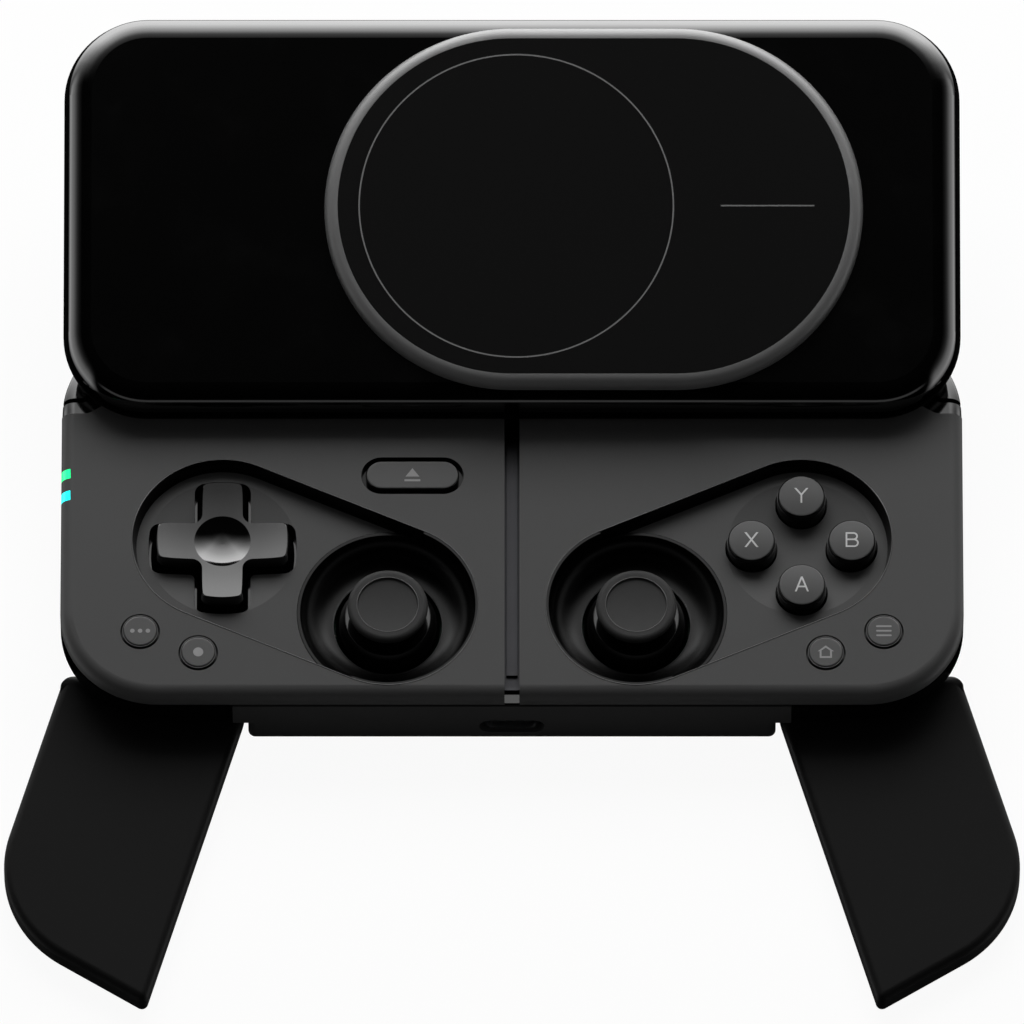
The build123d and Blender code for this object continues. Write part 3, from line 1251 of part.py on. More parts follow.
nodes["tilt_pin"] = tilt_pin()
nodes["tilt_springs"] = tilt_springs()
nodes["mount_pill"] = mount_pill()
nodes["pad_face"] = pad_face()
nodes["magnet_ring"] = magnet_ring()
nodes["align_magnet"] = align_magnet()
left_grip = grip_shell()
left_lid = grip_lid()
left_pin = grip_pin()
nodes["left_grip_shell"] = left_grip
nodes["left_grip_lid"] = left_lid
nodes["grip_pins"] = Compound(children=[left_pin, mirrored(left_pin)])
nodes["right_grip_shell"] = mirrored(left_grip)
nodes["right_grip_lid"] = mirrored(left_lid)
right_bumper = bumper()
right_trigger = trigger()
nodes["left_bumper"] = mirrored(right_bumper)
nodes["right_bumper"] = right_bumper
nodes["left_trigger"] = mirrored(right_trigger)
nodes["right_trigger"] = right_trigger
nodes["shoulder_pins"] = shoulder_pins()
nodes["button_a"] = face_button(PAD_X, PAD_Y - CAP_SPREAD)
nodes["button_b"] = face_button(PAD_X + CAP_SPREAD, PAD_Y)
nodes["button_x"] = face_button(PAD_X - CAP_SPREAD, PAD_Y)
nodes["button_y"] = face_button(PAD_X, PAD_Y + CAP_SPREAD)
nodes["key_options"] = small_key(-OUTER_KEY_X, OUTER_KEY_Y)
nodes["key_record"] = small_key(-INNER_KEY_X, INNER_KEY_Y)
nodes["key_home"] = small_key(INNER_KEY_X, INNER_KEY_Y)
nodes["key_menu"] = small_key(OUTER_KEY_X, OUTER_KEY_Y)
nodes["key_eject"] = eject_key()
nodes["dpad"] = dpad()
nodes["dpad_rocker"] = dpad_rocker()
nodes["dpad_fork"] = dpad_fork()
nodes["stick_modules"] = Compound(children=[stick_module(-1), stick_module(1)])
for name, side in (("left", -1), ("right", 1)):
    nodes[name + "_stick_well"] = stick_well(side)
    nodes[name + "_stick_yoke"] = stick_yoke(side)
    nodes[name + "_stick_gimbal"] = stick_gimbal(side)
    nodes[name + "_stick_shaft"] = stick_shaft(side)
    nodes[name + "_stick_cap"] = stick_cap(side)

for name, shape in nodes.items():
    export_step(shape, "parts/" + name + ".step")
print(len(nodes), "nodes written")
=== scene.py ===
from math import atan2, cos, degrees, hypot, pi, radians, sin

import bmesh
import bpy
from mathutils import Matrix, Vector


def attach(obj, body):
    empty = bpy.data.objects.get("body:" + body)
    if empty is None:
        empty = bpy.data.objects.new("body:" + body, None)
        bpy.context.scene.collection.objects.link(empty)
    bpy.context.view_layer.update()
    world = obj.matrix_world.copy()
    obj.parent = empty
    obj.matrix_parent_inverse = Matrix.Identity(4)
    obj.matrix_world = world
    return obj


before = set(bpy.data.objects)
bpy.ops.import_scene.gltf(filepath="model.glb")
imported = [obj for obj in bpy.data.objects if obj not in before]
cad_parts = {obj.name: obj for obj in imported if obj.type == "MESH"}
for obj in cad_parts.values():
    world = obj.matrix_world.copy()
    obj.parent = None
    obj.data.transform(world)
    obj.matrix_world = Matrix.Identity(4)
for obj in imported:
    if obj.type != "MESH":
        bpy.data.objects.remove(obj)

MM = 0.001

# Sizes and places repeated from the part, in millimetres.
HALF_W = 73.8
HALF_D = 34.65
CORNER = 16.0
DECK_Z = 14.8
TILT = radians(12.8)
PIN_Y = 19.72
PIN_Z = 18.4
FACE_W = 6.8
PLATE_MID = 29.75
RING_X = 0.7
RING_RADIUS = 25.75
LINE_START = 34.25
LINE_END = 49.55
BUTTON_X = 47.35
BUTTON_Y = -5.8
BUTTON_SPREAD = 8.2
STICK_X = 20.3
STICK_Y = -17.8
KEY_PROUD = 0.3
EJECT_X = -16.3
EJECT_Y = 6.05
LINE_WIDTH = 0.24
RECESS_RADIUS = 14.8
THROAT_RADIUS = 9.0
THROAT_Z = 7.2
DOME_RADIUS = 6.94
DOME_Z = 10.1
CAP_RIM_RADIUS = 5.02
CAP_RIM_Z = 14.78
BUTTON_EDGE_RADIUS = 3.93
BUTTON_EDGE_DROP = 1.1
KEY_EDGE_RADIUS = 2.85
KEY_EDGE_RISE = 0.1

# Where the deck's matte top ends and the painted shade on its steep recess walls begins: how far in from
# its outline, and how steep a wall is.
SHADED_WALL_INSET = 3.2
SHADED_WALL_STEEP = 0.55
# How far below the deck a button's grey top reaches; below it the flank gets painted shade.
CAP_TOP_DEPTH = 0.6

# How far the printed marks stand above the surface and reach into it, and the beads' radii.
PRINT_HIGH = 0.02
PRINT_LOW = 0.03
FINE_BEAD = 0.06
THIN_BEAD = 0.07
EDGE_BEAD = 0.08
RECESS_BEAD = 0.09
BEAD_SIDES = 3

# Camera and lamp, in metres and degrees; the floor lies just under the feet.
CAMERA_RISE = 62
CAMERA_AWAY = 4.67
CAMERA_AIM_Y = 7.18 * MM
CAMERA_LENS = 1000
CAMERA_SENSOR = 36
CAMERA_REACH = 50
LAMP_PLACE = (0, 0.5, 0.5)
LAMP_WIDE = 0.7
LAMP_TALL = 0.4
LAMP_POWER = 6.0
FLOOR_REACH = 3.0
FLOOR_DROP = 0.00005

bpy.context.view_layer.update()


class Tone:
    """A socket of a finish, with its sums written as Python."""

    def __init__(self, finish, socket):
        self.finish = finish
        self.socket = socket

    def sum(self, operation, *values, clamp=False):
        settings = {"operation": operation, "use_clamp": clamp}
        return self.finish.node("ShaderNodeMath", settings, dict(enumerate(values)))

    def __add__(self, other):
        return self.sum("ADD", self, other)

    def __radd__(self, other):
        return self.sum("ADD", other, self)

    def __sub__(self, other):
        return self.sum("SUBTRACT", self, other)

    def __rsub__(self, other):
        return self.sum("SUBTRACT", other, self)

    def __mul__(self, other):
        return self.sum("MULTIPLY", self, other)

    def __rmul__(self, other):
        return self.sum("MULTIPLY", other, self)

    def __truediv__(self, other):
        return self.sum("DIVIDE", self, other)

    def __pow__(self, other):
        return self.sum("POWER", self, other)

    def __abs__(self):
        return self.sum("ABSOLUTE", self)

    def __gt__(self, other):
        return self.sum("GREATER_THAN", self, other)

    def __lt__(self, other):
        return self.sum("LESS_THAN", self, other)

    def both(self, other):
        return self.sum("MINIMUM", self, other)

    def either(self, other):
        return self.sum("MAXIMUM", self, other)

    def fade(self, start, end):
        """0 at start, 1 at end, smooth between."""
        settings = {"interpolation_type": "SMOOTHSTEP"}
        return self.finish.node("ShaderNodeMapRange", settings, {"Value": self, 1: start, 2: end})


class Nodes:
    """A node tree that is filled by one method."""

    def __init__(self, tree):
        self.tree = tree
        tree.nodes.clear()

    def node(self, kind, settings=None, inputs=None, out=0):
        made = self.tree.nodes.new(kind)
        for key, value in (settings or {}).items():
            if key == "stops":
                ramp = made.color_ramp
                while len(ramp.elements) < len(value):
                    ramp.elements.new(0.5)
                for element, (place, shade) in zip(ramp.elements, value):
                    element.position = place
                    element.color = (shade, shade, shade, 1)
            else:
                setattr(made, key, value)
        for key, value in (inputs or {}).items():
            if isinstance(value, Tone):
                self.tree.links.new(value.socket, made.inputs[key])
            else:
                made.inputs[key].default_value = value
        return Tone(self, made.outputs[out]) if made.outputs else None

    def join(self, tone, node, name):
        self.tree.links.new(tone.socket, node.inputs[name])


class Finish(Nodes):
    """One material of the object: a Principled shader and what feeds it."""

    def __init__(self, name, **constants):
        self.material = bpy.data.materials.new(name)
        self.material.use_nodes = True
        super().__init__(self.material.node_tree)
        self.shader = self.tree.nodes.new("ShaderNodeBsdfPrincipled")
        output = self.tree.nodes.new("ShaderNodeOutputMaterial")
        self.tree.links.new(self.shader.outputs[0], output.inputs["Surface"])
        for key, value in constants.items():
            self.shader.inputs[key.replace("_", " ")].default_value = value
        place = self.node("ShaderNodeTexCoord", out="Object")
        inputs = {0: place, "Scale": 1 / MM}
        self.place = self.node("ShaderNodeVectorMath", {"operation": "SCALE"}, inputs)

    def axes(self, vector=None):
        """The three parts of a vector, by default the place in millimetres."""
        split = self.node("ShaderNodeSeparateXYZ", None, {0: vector or self.place})
        outs = split.socket.node.outputs
        return [Tone(self, outs[n]) for n in range(3)]

    def facing(self):
        """The three parts of the surface's own direction."""
        return self.axes(self.node("ShaderNodeNewGeometry", out="Normal"))

    def noise(self, scale, detail=2.0, rough=0.5, stretch=None):
        where = self.place
        if stretch:
            inputs = {0: where, 1: stretch}
            where = self.node("ShaderNodeVectorMath", {"operation": "MULTIPLY"}, inputs)
        inputs = {"Vector": where, "Scale": scale, "Detail": detail, "Roughness": rough}
        return self.node("ShaderNodeTexNoise", None, inputs)

    def mix(self, factor, one, two):
        """A colour between two, given as tones or as plain colours."""
        settings = {"data_type": "RGBA"}
        return self.node("ShaderNodeMix", settings, {0: factor, 6: one, 7: two}, out=2)

    def colour(self, tone):
        self.join(tone, self.shader, "Base Color")

    def rough(self, tone):
        self.join(tone, self.shader, "Roughness")

    def bump(self, height, distance, strength=1.0):
        """Relief of that depth in millimetres."""
        inputs = {"Height": height, "Distance": distance * MM, "Strength": strength}
        self.join(self.node("ShaderNodeBump", None, inputs), self.shader, "Normal")


def grey(value):
    return (value, value, value, 1)


# Finishes.
def moulded(name, dark, light, rough, grain, depth, **constants):
    """Moulded plastic: fine spark-eroded grain with a slight change of shade."""
    finish = Finish(name, **constants)
    cloud = finish.noise(0.05, detail=3.0)
    fine = finish.noise(grain, detail=3.0, rough=0.7)
    finish.colour(finish.mix(cloud * 0.6 + fine * 0.4, grey(dark), grey(light)))
    finish.rough(fine * 0.1 + cloud * 0.06 + (rough - 0.08))
    finish.bump(fine, depth)
    return finish


def deck_finish():
    """Matte grey deck whose steep recess walls are polished and painted near-black as painted shade."""
    finish = Finish("deck_grey_wall_shade", Specular_IOR_Level=0.1)
    cloud = finish.noise(0.04, detail=3.0)
    fine = finish.noise(7.0, detail=3.0, rough=0.7)
    x, y = finish.axes()[:2]
    up = finish.facing()[2]
    out_x = (abs(x) - (HALF_W - CORNER)).either(0)
    out_y = (abs(y) - (HALF_D - CORNER)).either(0)
    inside = (out_x * out_x + out_y * out_y) ** 0.5 < CORNER - SHADED_WALL_INSET
    # Painted shade: steep walls inside the outline, picked by their direction, are coloured near-black
    # (0.002) instead of the deck's grey.
    wall = inside.both(up < SHADED_WALL_STEEP)
    shade = finish.mix(cloud * 0.5 + fine * 0.5, grey(0.046), grey(0.053))
    finish.colour(finish.mix(wall, shade, grey(0.002)))
    finish.rough((fine * 0.1 + 0.38) * (1 - wall) + wall * 0.16)
    finish.bump(fine * (1 - wall), 0.012)
    return finish


def gloss_finish(name, shade=0.0015, rough=0.07, **constants):
    """Polished black plastic with the faint haze that handling leaves."""
    finish = Finish(name, **constants)
    haze = finish.noise(0.09, detail=4.0, rough=0.6)
    fine = finish.noise(2.5, detail=2.0)
    finish.colour(finish.mix(haze, grey(shade), grey(shade * 1.3)))
    finish.rough(haze.fade(0.45, 0.75) * 0.05 + fine * 0.02 + rough)
    return finish


def cap_finish():
    """Face buttons: grey top; the polished flank, picked by its direction, is painted near-black as
    painted shade.
    """
    finish = Finish("cap_grey_flank_shade", Specular_IOR_Level=0.16)
    fine = finish.noise(7.0, detail=3.0, rough=0.7)
    cloud = finish.noise(0.3)
    up = finish.facing()[2]
    z = finish.axes()[2]
    # Painted shade: where the surface turns from straight up or lies below the top, the flank is coloured
    # near-black (0.002).
    top = up.fade(0.8, 0.93).both(z > DECK_Z - CAP_TOP_DEPTH)
    shade = finish.mix(fine * 0.5 + cloud * 0.5, grey(0.046), grey(0.053))
    finish.colour(finish.mix(top, grey(0.002), shade))
    finish.rough(top * (fine * 0.1 + 0.34) + (1 - top) * 0.1)
    finish.bump(fine * top, 0.008)
    return finish


def rubber_finish(name, dark, light, rough, **constants):
    finish = Finish(name, **constants)
    cloud = finish.noise(0.5, detail=3.0)
    fine = finish.noise(9.0, detail=4.0, rough=0.75)
    finish.colour(finish.mix(cloud * 0.5 + fine * 0.5, grey(dark), grey(light)))
    finish.rough(fine * 0.14 + (rough - 0.07))
    finish.bump(fine, 0.02)
    return finish


def metal_finish(name, colour, rough, stretch=(0.6, 8.0, 8.0), metallic=1.0):
    """Metal with fine drawing or grinding lines."""
    finish = Finish(name, Metallic=metallic)
    lines = finish.noise(1.6, detail=4.0, rough=0.7, stretch=stretch)
    cloud = finish.noise(0.25, detail=2.0)
    darker = tuple(c * 0.72 for c in colour) + (1,)
    finish.colour(finish.mix(lines * 0.6 + cloud * 0.4, darker, tuple(colour) + (1,)))
    finish.rough(lines * 0.16 + (rough - 0.08))
    finish.bump(lines, 0.006)
    return finish


def print_finish(name, shade, rough=0.5):
    """Ink of a printed mark, a little uneven."""
    finish = Finish(name)
    fine = finish.noise(12.0, detail=2.0)
    finish.colour(finish.mix(fine, grey(shade * 0.9), grey(shade * 1.1)))
    finish.rough(fine * 0.1 + rough)
    return finish


def glow_finish(name, colour, strength):
    """A light pipe, glowing with a faint mottle."""
    finish = Finish(name, Roughness=0.25)
    mottle = finish.noise(1.4, detail=1.0)
    full = tuple(colour) + (1,)
    less = tuple(c * 0.82 for c in colour) + (1,)
    lit = finish.mix(mottle, less, full)
    finish.colour(lit)
    finish.join(lit, finish.shader, "Emission Color")
    finish.shader.inputs["Emission Strength"].default_value = strength
    return finish


def board_finish():
    """Circuit board: dark solder mask over tracks, with tinned pads."""
    finish = Finish("board_green")
    tracks = {"Color1": grey(0), "Color2": grey(0), "Mortar": grey(1), "Scale": 0.35, "Mortar Size": 0.06}
    tracks["Vector"] = finish.place
    cells = finish.node("ShaderNodeTexBrick", {"offset": 0.5, "offset_frequency": 2}, tracks)
    spots = {"Vector": finish.place, "Scale": 0.5}
    pads = finish.node("ShaderNodeTexVoronoi", {"feature": "DISTANCE_TO_EDGE"}, spots)
    pad = pads.fade(0.42, 0.46)
    mask = finish.mix(cells, (0.004, 0.022, 0.012, 1), (0.008, 0.05, 0.024, 1))
    finish.colour(finish.mix(pad, mask, (0.55, 0.52, 0.45, 1)))
    finish.rough(pad * 0.1 + 0.3)
    finish.bump(cells, 0.03)
    return finish


def cell_finish():
    """Foil wrap of the battery, faintly creased."""
    finish = Finish("cell_foil", Metallic=0.5)
    crease = finish.noise(0.22, detail=5.0, rough=0.6)
    finish.colour(finish.mix(crease, (0.32, 0.33, 0.34, 1), (0.46, 0.47, 0.48, 1)))
    finish.rough(crease * 0.2 + 0.25)
    finish.bump(crease, 0.15)
    return finish


def pad_finish():
    """Soft black face of the mount, with a very fine tooth."""
    finish = Finish("pad_black", Specular_IOR_Level=0.04)
    fine = finish.noise(10.0, detail=3.0, rough=0.8)
    cloud = finish.noise(0.04, detail=2.0)
    finish.colour(finish.mix(fine * 0.5 + cloud * 0.5, grey(0.0036), grey(0.0048)))
    finish.rough(fine * 0.1 + 0.4)
    finish.bump(fine, 0.006)
    return finish


deck_grey_wall_shade = deck_finish()
cap_grey_flank_shade = cap_finish()
gloss_black = gloss_finish("gloss_black")
plate_gloss = gloss_finish("plate_gloss", shade=0.0009, rough=0.08)
pill_satin = moulded("pill_satin", 0.10, 0.115, 0.42, 7.0, 0.006)
cross_gloss = gloss_finish("cross_gloss", rough=0.06)
dome_gloss = gloss_finish("dome_gloss", rough=0.05)
well_satin = gloss_finish("well_satin", rough=0.22, Specular_IOR_Level=0.15)
spine_matte = moulded("spine_matte", 0.032, 0.038, 0.5, 6.0, 0.012, Specular_IOR_Level=0.04)
grip_matte = moulded("grip_matte", 0.005, 0.007, 0.5, 6.0, 0.014, Specular_IOR_Level=0.03)
frame_gloss = gloss_finish("frame_gloss", rough=0.12)
inner_plastic = moulded("inner_plastic", 0.012, 0.018, 0.55, 5.0, 0.01)
cap_rubber = rubber_finish("cap_rubber", 0.022, 0.03, 0.6, Specular_IOR_Level=0.1)
grey_rubber = rubber_finish("grey_rubber", 0.20, 0.24, 0.6)
pad_black = pad_finish()
steel = metal_finish("steel", (0.56, 0.57, 0.58), 0.3)
dark_steel = metal_finish("dark_steel", (0.03, 0.03, 0.032), 0.38, stretch=(8.0, 0.6, 8.0))
screw_black = metal_finish("screw_black", (0.05, 0.05, 0.052), 0.4, stretch=(1, 1, 1))
nickel = metal_finish("nickel", (0.62, 0.60, 0.56), 0.24, stretch=(2, 2, 2))
glide_white = moulded("glide_white", 0.62, 0.72, 0.4, 4.0, 0.006)
green_light = glow_finish("green_light", (0.0, 0.95, 0.28), 1.0)
blue_light = glow_finish("blue_light", (0.0, 0.95, 0.95), 1.0)
board_green = board_finish()
cell_foil = cell_finish()
icon_ink = print_finish("icon_ink", 0.16)
letter_ink = print_finish("letter_ink", 0.42)
line_ink = print_finish("line_ink", 0.11)

NODE_FINISHES = {
    "top_shell": deck_grey_wall_shade,
    "mid_frame": gloss_black,
    "rear_frame": gloss_black,
    "lower_housing": gloss_black,
    "spine_cover": spine_matte,
    "case_screws": screw_black,
    "main_board": board_green,
    "stick_board": board_green,
    "board_parts": inner_plastic,
    "battery": cell_foil,
    "usb_socket": steel,
    "face_membrane": grey_rubber,
    "dpad_membrane": grey_rubber,
    "status_light_green": green_light,
    "status_light_blue": blue_light,
    "slide_rail": dark_steel,
    "slide_carriage": dark_steel,
    "carriage_glides": glide_white,
    "plate_frame": frame_gloss,
    "plate_cover": plate_gloss,
    "plate_screws": screw_black,
    "tilt_pin": steel,
    "tilt_springs": steel,
    "mount_pill": pill_satin,
    "pad_face": pad_black,
    "magnet_ring": nickel,
    "align_magnet": nickel,
    "left_grip_shell": grip_matte,
    "right_grip_shell": grip_matte,
    "left_grip_lid": grip_matte,
    "right_grip_lid": grip_matte,
    "grip_pins": steel,
    "left_bumper": gloss_black,
    "right_bumper": gloss_black,
    "left_trigger": gloss_black,
    "right_trigger": gloss_black,
    "shoulder_pins": steel,
    "button_a": cap_grey_flank_shade,
    "button_b": cap_grey_flank_shade,
    "button_x": cap_grey_flank_shade,
    "button_y": cap_grey_flank_shade,
    "key_options": cap_grey_flank_shade,
    "key_record": cap_grey_flank_shade,
    "key_home": cap_grey_flank_shade,
    "key_menu": cap_grey_flank_shade,
    "key_eject": cap_grey_flank_shade,
    "dpad": cross_gloss,
    "dpad_rocker": inner_plastic,
    "dpad_fork": inner_plastic,
    "stick_modules": steel,
}
for side in ("left", "right"):
    NODE_FINISHES[side + "_stick_well"] = well_satin
    NODE_FINISHES[side + "_stick_yoke"] = inner_plastic
    NODE_FINISHES[side + "_stick_gimbal"] = inner_plastic
    NODE_FINISHES[side + "_stick_shaft"] = dome_gloss
    NODE_FINISHES[side + "_stick_cap"] = cap_rubber


def dress(thing, finish):
    """Gives a piece its one finish."""
    thing.data.materials.clear()
    thing.data.materials.append(finish.material)


for name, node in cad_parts.items():
    dress(node, NODE_FINISHES[name])


# Outlines, as lists of points in millimetres.
def loop_circle(x, y, radius, steps=40):
    turns = [2 * pi * n / steps for n in range(steps)]
    return [(x + radius * cos(turn), y + radius * sin(turn)) for turn in turns]


def loop_bar(x0, y0, x1, y1, width):
    """A straight stroke with rounded ends."""
    along = Vector((x1 - x0, y1 - y0)).normalized()
    turn = along.angle_signed(Vector((1, 0)))
    points = []
    for cx, cy, start in ((x1, y1, -pi / 2), (x0, y0, pi / 2)):
        for n in range(9):
            angle = turn + start + pi * n / 8
            points.append((cx + width / 2 * cos(angle), cy + width / 2 * sin(angle)))
    return points


def traced(name, loops, z, **settings):
    """A mesh from closed level outlines, with the curve's own settings."""
    curve = bpy.data.curves.new(name + "_outline", "CURVE")
    for key, value in settings.items():
        setattr(curve, key, value)
    for loop in loops:
        spline = curve.splines.new("POLY")
        spline.points.add(len(loop) - 1)
        for point, (x, y) in zip(spline.points, loop):
            point.co = (x * MM, y * MM, z * MM, 1)
        spline.use_cyclic_u = True
    holder = bpy.data.objects.new(name + "_holder", curve)
    bpy.context.scene.collection.objects.link(holder)
    bpy.context.view_layer.update()
    drawn = holder.evaluated_get(bpy.context.evaluated_depsgraph_get())
    mesh = bpy.data.meshes.new_from_object(drawn)
    bpy.data.objects.remove(holder)
    bpy.data.curves.remove(curve)
    mesh.name = name
    return mesh


def carried(name, mesh, body, finish):
    """Puts a finished mesh on the body that carries it."""
    thing = bpy.data.objects.new(name, mesh)
    bpy.context.scene.collection.objects.link(thing)
    dress(thing, finish)
    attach(thing, body)


def raised(name, loops, place, body, finish):
    """A printed mark: outlines filled and raised by a hair from the surface at a place."""
    half = (PRINT_HIGH + PRINT_LOW) / 2 * MM
    mesh = traced(name, loops, 0, dimensions="2D", fill_mode="BOTH", extrude=half)
    mesh.transform(place @ Matrix.Translation((0, 0, (PRINT_HIGH - PRINT_LOW) / 2 * MM)))
    work = bmesh.new()
    work.from_mesh(mesh)
    bmesh.ops.remove_doubles(work, verts=work.verts, dist=0.0005 * MM)
    bmesh.ops.recalc_face_normals(work, faces=work.faces)
    work.to_mesh(mesh)
    work.free()
    carried(name, mesh, body, finish)


def on_deck(x, y, z=DECK_Z):
    return Matrix.Translation((x * MM, y * MM, z * MM))


def on_plate(x, y, z):
    """A place on the tilted plate, measured from its pin."""
    pin = Matrix.Translation((0, PIN_Y * MM, PIN_Z * MM)) @ Matrix.Rotation(TILT, 4, "X")
    return pin @ Matrix.Translation((x * MM, y * MM, z * MM))


def loop_arc(x, y, radius, start, end, steps=12):
    turns = [radians(start + (end - start) * n / steps) for n in range(steps + 1)]
    return [(x + radius * cos(turn), y + radius * sin(turn)) for turn in turns]


def loop_box(x0, y0, x1, y1):
    return [(x0, y0), (x1, y0), (x1, y1), (x0, y1)]


def both_sides(points):
    """A loop from its right half, listed from the bottom up."""
    return points + [(-x, y) for x, y in reversed(points)]


# Plain capital letters of the face buttons, drawn as outlines about their middle.
TALL = 1.36
WIDE = 1.14
STROKE = 0.135


def letter_x():
    arm = STROKE * hypot(WIDE, TALL) / TALL
    mid = WIDE - arm
    notch = STROKE * hypot(mid, TALL) / mid
    lower = [(0, -notch), (mid - arm, -TALL), (mid + arm, -TALL)]
    upper = [(mid + arm, TALL), (mid - arm, TALL), (0, notch)]
    right = lower + [(arm, 0)] + upper
    return [right + [(-x, y) for x, y in reversed(right[1:-1])]]


def letter_y():
    fork = -0.1
    lean = (TALL - fork) / WIDE
    arm = STROKE * hypot(WIDE, TALL - fork) / (TALL - fork)
    mid = WIDE - arm
    stem = [(STROKE, -TALL), (STROKE, TALL - (mid + arm - STROKE) * lean)]
    outer = stem + [(mid + arm, TALL), (mid - arm, TALL)]
    return [outer + [(0, TALL - (mid - arm) * lean)] + [(-x, y) for x, y in reversed(outer)]]


def letter_a():
    lean = (WIDE - STROKE) / (2 * TALL)
    arm = STROKE * hypot(1, lean)
    foot = WIDE - 2 * arm
    bar = -0.6
    outer = [(foot - (bar + TALL) * lean, bar), (foot, -TALL), (WIDE, -TALL), (arm, TALL)]
    bar_top = bar + 2 * STROKE
    peak = foot / lean - TALL
    hole_x = foot - (bar_top + TALL) * lean
    hole = [(hole_x, bar_top), (0, peak), (-hole_x, bar_top)]
    return [both_sides(outer), hole]


def letter_b():
    left = -1.0
    waist = 0.05
    low = (waist + STROKE + TALL) / 2
    high = (TALL - waist + STROKE) / 2
    low_x = WIDE - low
    high_x = low_x - 0.08
    outer = [(left, -TALL)] + loop_arc(low_x, low - TALL, low, -90, 54)
    outer += loop_arc(high_x, TALL - high, high, -53, 90) + [(left, TALL)]
    thick = 2 * STROKE
    holes = []
    for x, y, radius in ((low_x, low - TALL, low - thick), (high_x, TALL - high, high - thick)):
        flat = [(left + thick, y - radius)]
        holes.append(flat + loop_arc(x, y, radius, -90, 90) + [(left + thick, y + radius)])
    return [outer] + holes


# Plain signs of the small keys.
def sign_dots():
    return [loop_circle(x, 0, 0.37, 20) for x in (-1.27, 0, 1.27)]


def sign_disc():
    return [loop_circle(0, 0, 0.82, 28)]


def sign_house():
    wall = [(1.0, -1.1), (1.0, 0.12), (1.32, 0.12)]
    inside = [(0.7, -0.8), (0.7, 0.26)]
    outer = wall + [(0, 1.18)] + [(-x, y) for x, y in reversed(wall)]
    return [outer, inside + [(0, 0.8)] + [(-x, y) for x, y in reversed(inside)]]


def sign_bars():
    return [loop_bar(-1.12, y, 1.12, y, 0.3) for y in (-0.84, 0, 0.84)]


def sign_triangle():
    return [[(-1.13, -0.32), (1.13, -0.32), (0, 1.22)], loop_box(-1.3, -1.2, 1.3, -0.84)]


KEY_MARKS = {
    "button_x": (letter_x(), -BUTTON_SPREAD, 0),
    "button_y": (letter_y(), 0, BUTTON_SPREAD),
    "button_a": (letter_a(), 0, -BUTTON_SPREAD),
    "button_b": (letter_b(), BUTTON_SPREAD, 0),
}
for key, (loops, x, y) in KEY_MARKS.items():
    raised(key + "_letter", loops, on_deck(BUTTON_X + x, BUTTON_Y + y), key, letter_ink)
SMALL_KEYS = [
    ("key_options", -60.7, -22.8),
    ("key_record", -51.2, -26.7),
    ("key_home", 51.2, -26.7),
    ("key_menu", 60.7, -22.8),
]
SIGNS = [sign_dots(), sign_disc(), sign_house(), sign_bars(), sign_triangle()]
for (key, x, y), loops in zip(SMALL_KEYS + [("key_eject", EJECT_X, EJECT_Y)], SIGNS):
    raised(key + "_sign", loops, on_deck(x, y, DECK_Z + KEY_PROUD), key, icon_ink)


# Fine polished beads along the edges that catch the light.
def bead(name, loop, z, radius, body):
    """A thin closed tube along a level outline."""
    depth = radius * MM
    mesh = traced(name, [loop], z, dimensions="3D", bevel_depth=depth, bevel_resolution=BEAD_SIDES)
    mesh.shade_smooth()
    carried(name, mesh, body, gloss_black)


def loop_recess(side):
    """Outline of a recess: a pad arc and a stick arc joined by their tangents."""
    turn = degrees(atan2(BUTTON_Y - STICK_Y, BUTTON_X - STICK_X))
    loop = loop_arc(BUTTON_X, BUTTON_Y, RECESS_RADIUS, turn - 90, turn + 90, 48)
    loop += loop_arc(STICK_X, STICK_Y, RECESS_RADIUS, turn + 90, turn + 270, 48)
    return [(side * x, y) for x, y in loop]


for side, x_sign in (("left", -1), ("right", 1)):
    x = x_sign * STICK_X
    stick = side + "_stick"
    rim = loop_circle(x, STICK_Y, CAP_RIM_RADIUS, 64)
    dome = loop_circle(x, STICK_Y, DOME_RADIUS, 80)
    throat = loop_circle(x, STICK_Y, THROAT_RADIUS, 96)
    bead(side + "_recess_bead", loop_recess(x_sign), DECK_Z, RECESS_BEAD, "housing")
    bead(side + "_throat_bead", throat, THROAT_Z, THIN_BEAD, "housing")
    bead(side + "_dome_bead", dome, DOME_Z, FINE_BEAD, stick)
    bead(side + "_cap_bead", rim, CAP_RIM_Z, THIN_BEAD, stick)
for key, (loops, x, y) in KEY_MARKS.items():
    edge = loop_circle(BUTTON_X + x, BUTTON_Y + y, BUTTON_EDGE_RADIUS, 60)
    bead(key + "_bead", edge, DECK_Z - BUTTON_EDGE_DROP, EDGE_BEAD, key)
for key, x, y in SMALL_KEYS:
    bead(key + "_bead", loop_circle(x, y, KEY_EDGE_RADIUS, 48), DECK_Z + KEY_EDGE_RISE, EDGE_BEAD, key)

# Ring and line printed on the mount's face.
ring_loops = [loop_circle(0, 0, RING_RADIUS + side * LINE_WIDTH / 2, 180) for side in (1, -1)]
raised("mount_ring_print", ring_loops, on_plate(RING_X, PLATE_MID, FACE_W), "phone_plate", line_ink)
line_loop = loop_box(LINE_START, -LINE_WIDTH / 2, LINE_END, LINE_WIDTH / 2)
raised("mount_line_print", [line_loop], on_plate(0, PLATE_MID, FACE_W), "phone_plate", line_ink)


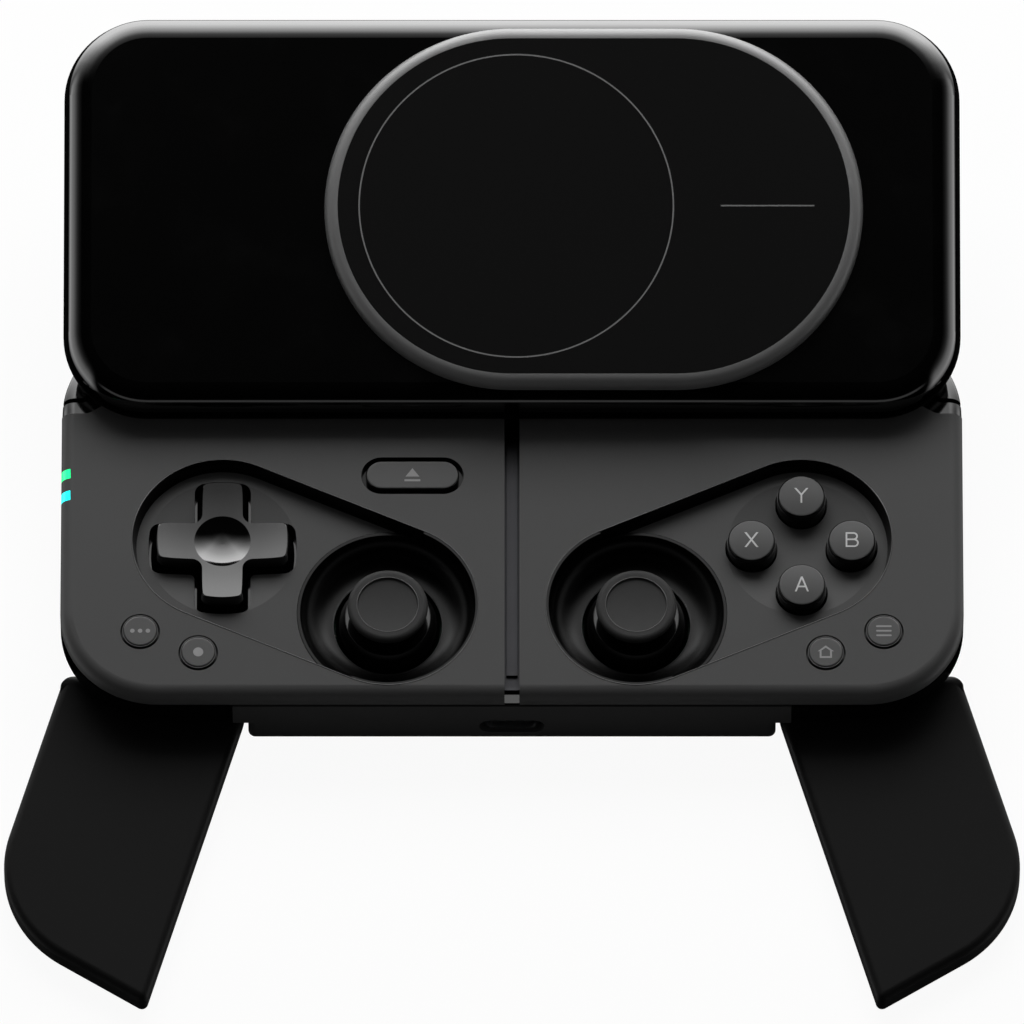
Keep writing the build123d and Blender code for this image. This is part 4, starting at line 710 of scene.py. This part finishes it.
# Stage, lamps and camera.
def stage_floor():
    """A pale sheet that keeps the object's shadow."""
    mesh = bpy.data.meshes.new("floor")
    corners = loop_box(-FLOOR_REACH, -FLOOR_REACH, FLOOR_REACH, FLOOR_REACH)
    mesh.from_pydata([(x, y, -FLOOR_DROP) for x, y in corners], [], [(0, 1, 2, 3)])
    floor = bpy.data.objects.new("floor", mesh)
    bpy.context.scene.collection.objects.link(floor)
    material = bpy.data.materials.new("floor_white")
    material.use_nodes = True
    work = Nodes(material.node_tree)
    seen = work.node("ShaderNodeLightPath", out="Is Camera Ray")
    paper = work.node("ShaderNodeBsdfDiffuse", None, {"Color": grey(0.85)})
    glow = work.node("ShaderNodeEmission", None, {"Color": grey(1.0), "Strength": 1.0})
    blend = work.node("ShaderNodeMixShader", None, {0: seen * 0.94, 1: paper, 2: glow})
    work.node("ShaderNodeOutputMaterial", None, {"Surface": blend})
    mesh.materials.append(material)
    floor.visible_glossy = False


def north_box():
    """Soft box behind the object that only matte surfaces see."""
    lamp = bpy.data.lights.new("north_box", "AREA")
    lamp.shape = "RECTANGLE"
    lamp.size = LAMP_WIDE
    lamp.size_y = LAMP_TALL
    lamp.energy = LAMP_POWER
    thing = bpy.data.objects.new("north_box", lamp)
    thing.location = LAMP_PLACE
    thing.rotation_euler = (-Vector(LAMP_PLACE)).to_track_quat("-Z", "Y").to_euler()
    thing.visible_glossy = False
    thing.visible_camera = False
    bpy.context.scene.collection.objects.link(thing)


def studio_world():
    """White to the camera; in gloss, walls at three sides and a faint strip on the fourth."""
    world = bpy.data.worlds.new("studio")
    bpy.context.scene.world = world
    world.use_nodes = True
    work = Nodes(world.node_tree)
    ray = work.node("ShaderNodeLightPath")
    outs = ray.socket.node.outputs
    camera = Tone(work, outs["Is Camera Ray"])
    gloss = Tone(work, outs["Is Glossy Ray"])
    place = work.node("ShaderNodeTexCoord", out="Generated")
    parts = work.node("ShaderNodeSeparateXYZ", None, {0: place}).socket.node.outputs
    east, north, up = (Tone(work, parts[n]) for n in range(3))

    def wall(value, stops):
        """Brightness read from a list of (place, brightness) stops, for places from -1 to 1."""
        scaled = [(stop / 2 + 0.5, bright / 10) for stop, bright in stops]
        return work.node("ShaderNodeValToRGB", {"stops": scaled}, {0: value * 0.5 + 0.5}) * 10

    far_wall = wall(up, [
        (-0.7, 0), (-0.56, 2.2), (-0.32, 4.3), (-0.125, 5.9), (0.045, 7.7), (0.2, 8.9),
        (0.44, 8.7), (0.545, 8.0), (0.635, 6.8), (0.714, 5.9), (0.78, 4.9), (0.839, 3.5),
        (0.886, 2.1), (0.924, 1.25), (0.954, 0.8), (0.977, 0.4), (0.992, 0.1), (1, 0),
    ])
    side_wall = wall(up, [(-0.8, 0), (-0.45, 2.5), (0, 1.9), (0.34, 0.41), (0.515, 0.12), (0.7, 0)])
    far = (north / (abs(east) + 0.02)).fade(0.3, 1.8)
    strip = wall(up, [(-0.12, 0), (-0.05, 0.7), (0.05, 0.7), (0.12, 0)])
    near = (-1 * north - abs(east) * 0.6).fade(0.1, 0.4)
    sides = (abs(east) - abs(north) * 1.2).fade(0.1, 0.4)
    seen = far_wall * far + side_wall * sides + strip * near
    fill = work.node("ShaderNodeBackground", None, {"Color": grey(1.0), "Strength": 0.12})
    walls = work.node("ShaderNodeBackground", None, {"Color": grey(1.0), "Strength": seen})
    white = work.node("ShaderNodeBackground", None, {"Color": grey(1.0), "Strength": 1.0})
    room = work.node("ShaderNodeMixShader", None, {0: gloss, 1: fill, 2: walls})
    shown = work.node("ShaderNodeMixShader", None, {0: camera, 1: room, 2: white})
    work.node("ShaderNodeOutputWorld", None, {"Surface": shown})


def place_camera():
    """Long lens that looks down on the deck from the south."""
    data = bpy.data.cameras.new("camera")
    data.lens = CAMERA_LENS
    data.sensor_width = CAMERA_SENSOR
    data.clip_end = CAMERA_REACH
    camera = bpy.data.objects.new("camera", data)
    rise = radians(CAMERA_RISE)
    target = Vector((0, CAMERA_AIM_Y, 0))
    camera.location = target + CAMERA_AWAY * Vector((0, -cos(rise), sin(rise)))
    camera.rotation_euler = (pi / 2 - rise, 0, 0)
    bpy.context.scene.collection.objects.link(camera)
    bpy.context.scene.camera = camera


stage_floor()
north_box()
studio_world()
place_camera()
bpy.context.scene.view_settings.view_transform = "Standard"
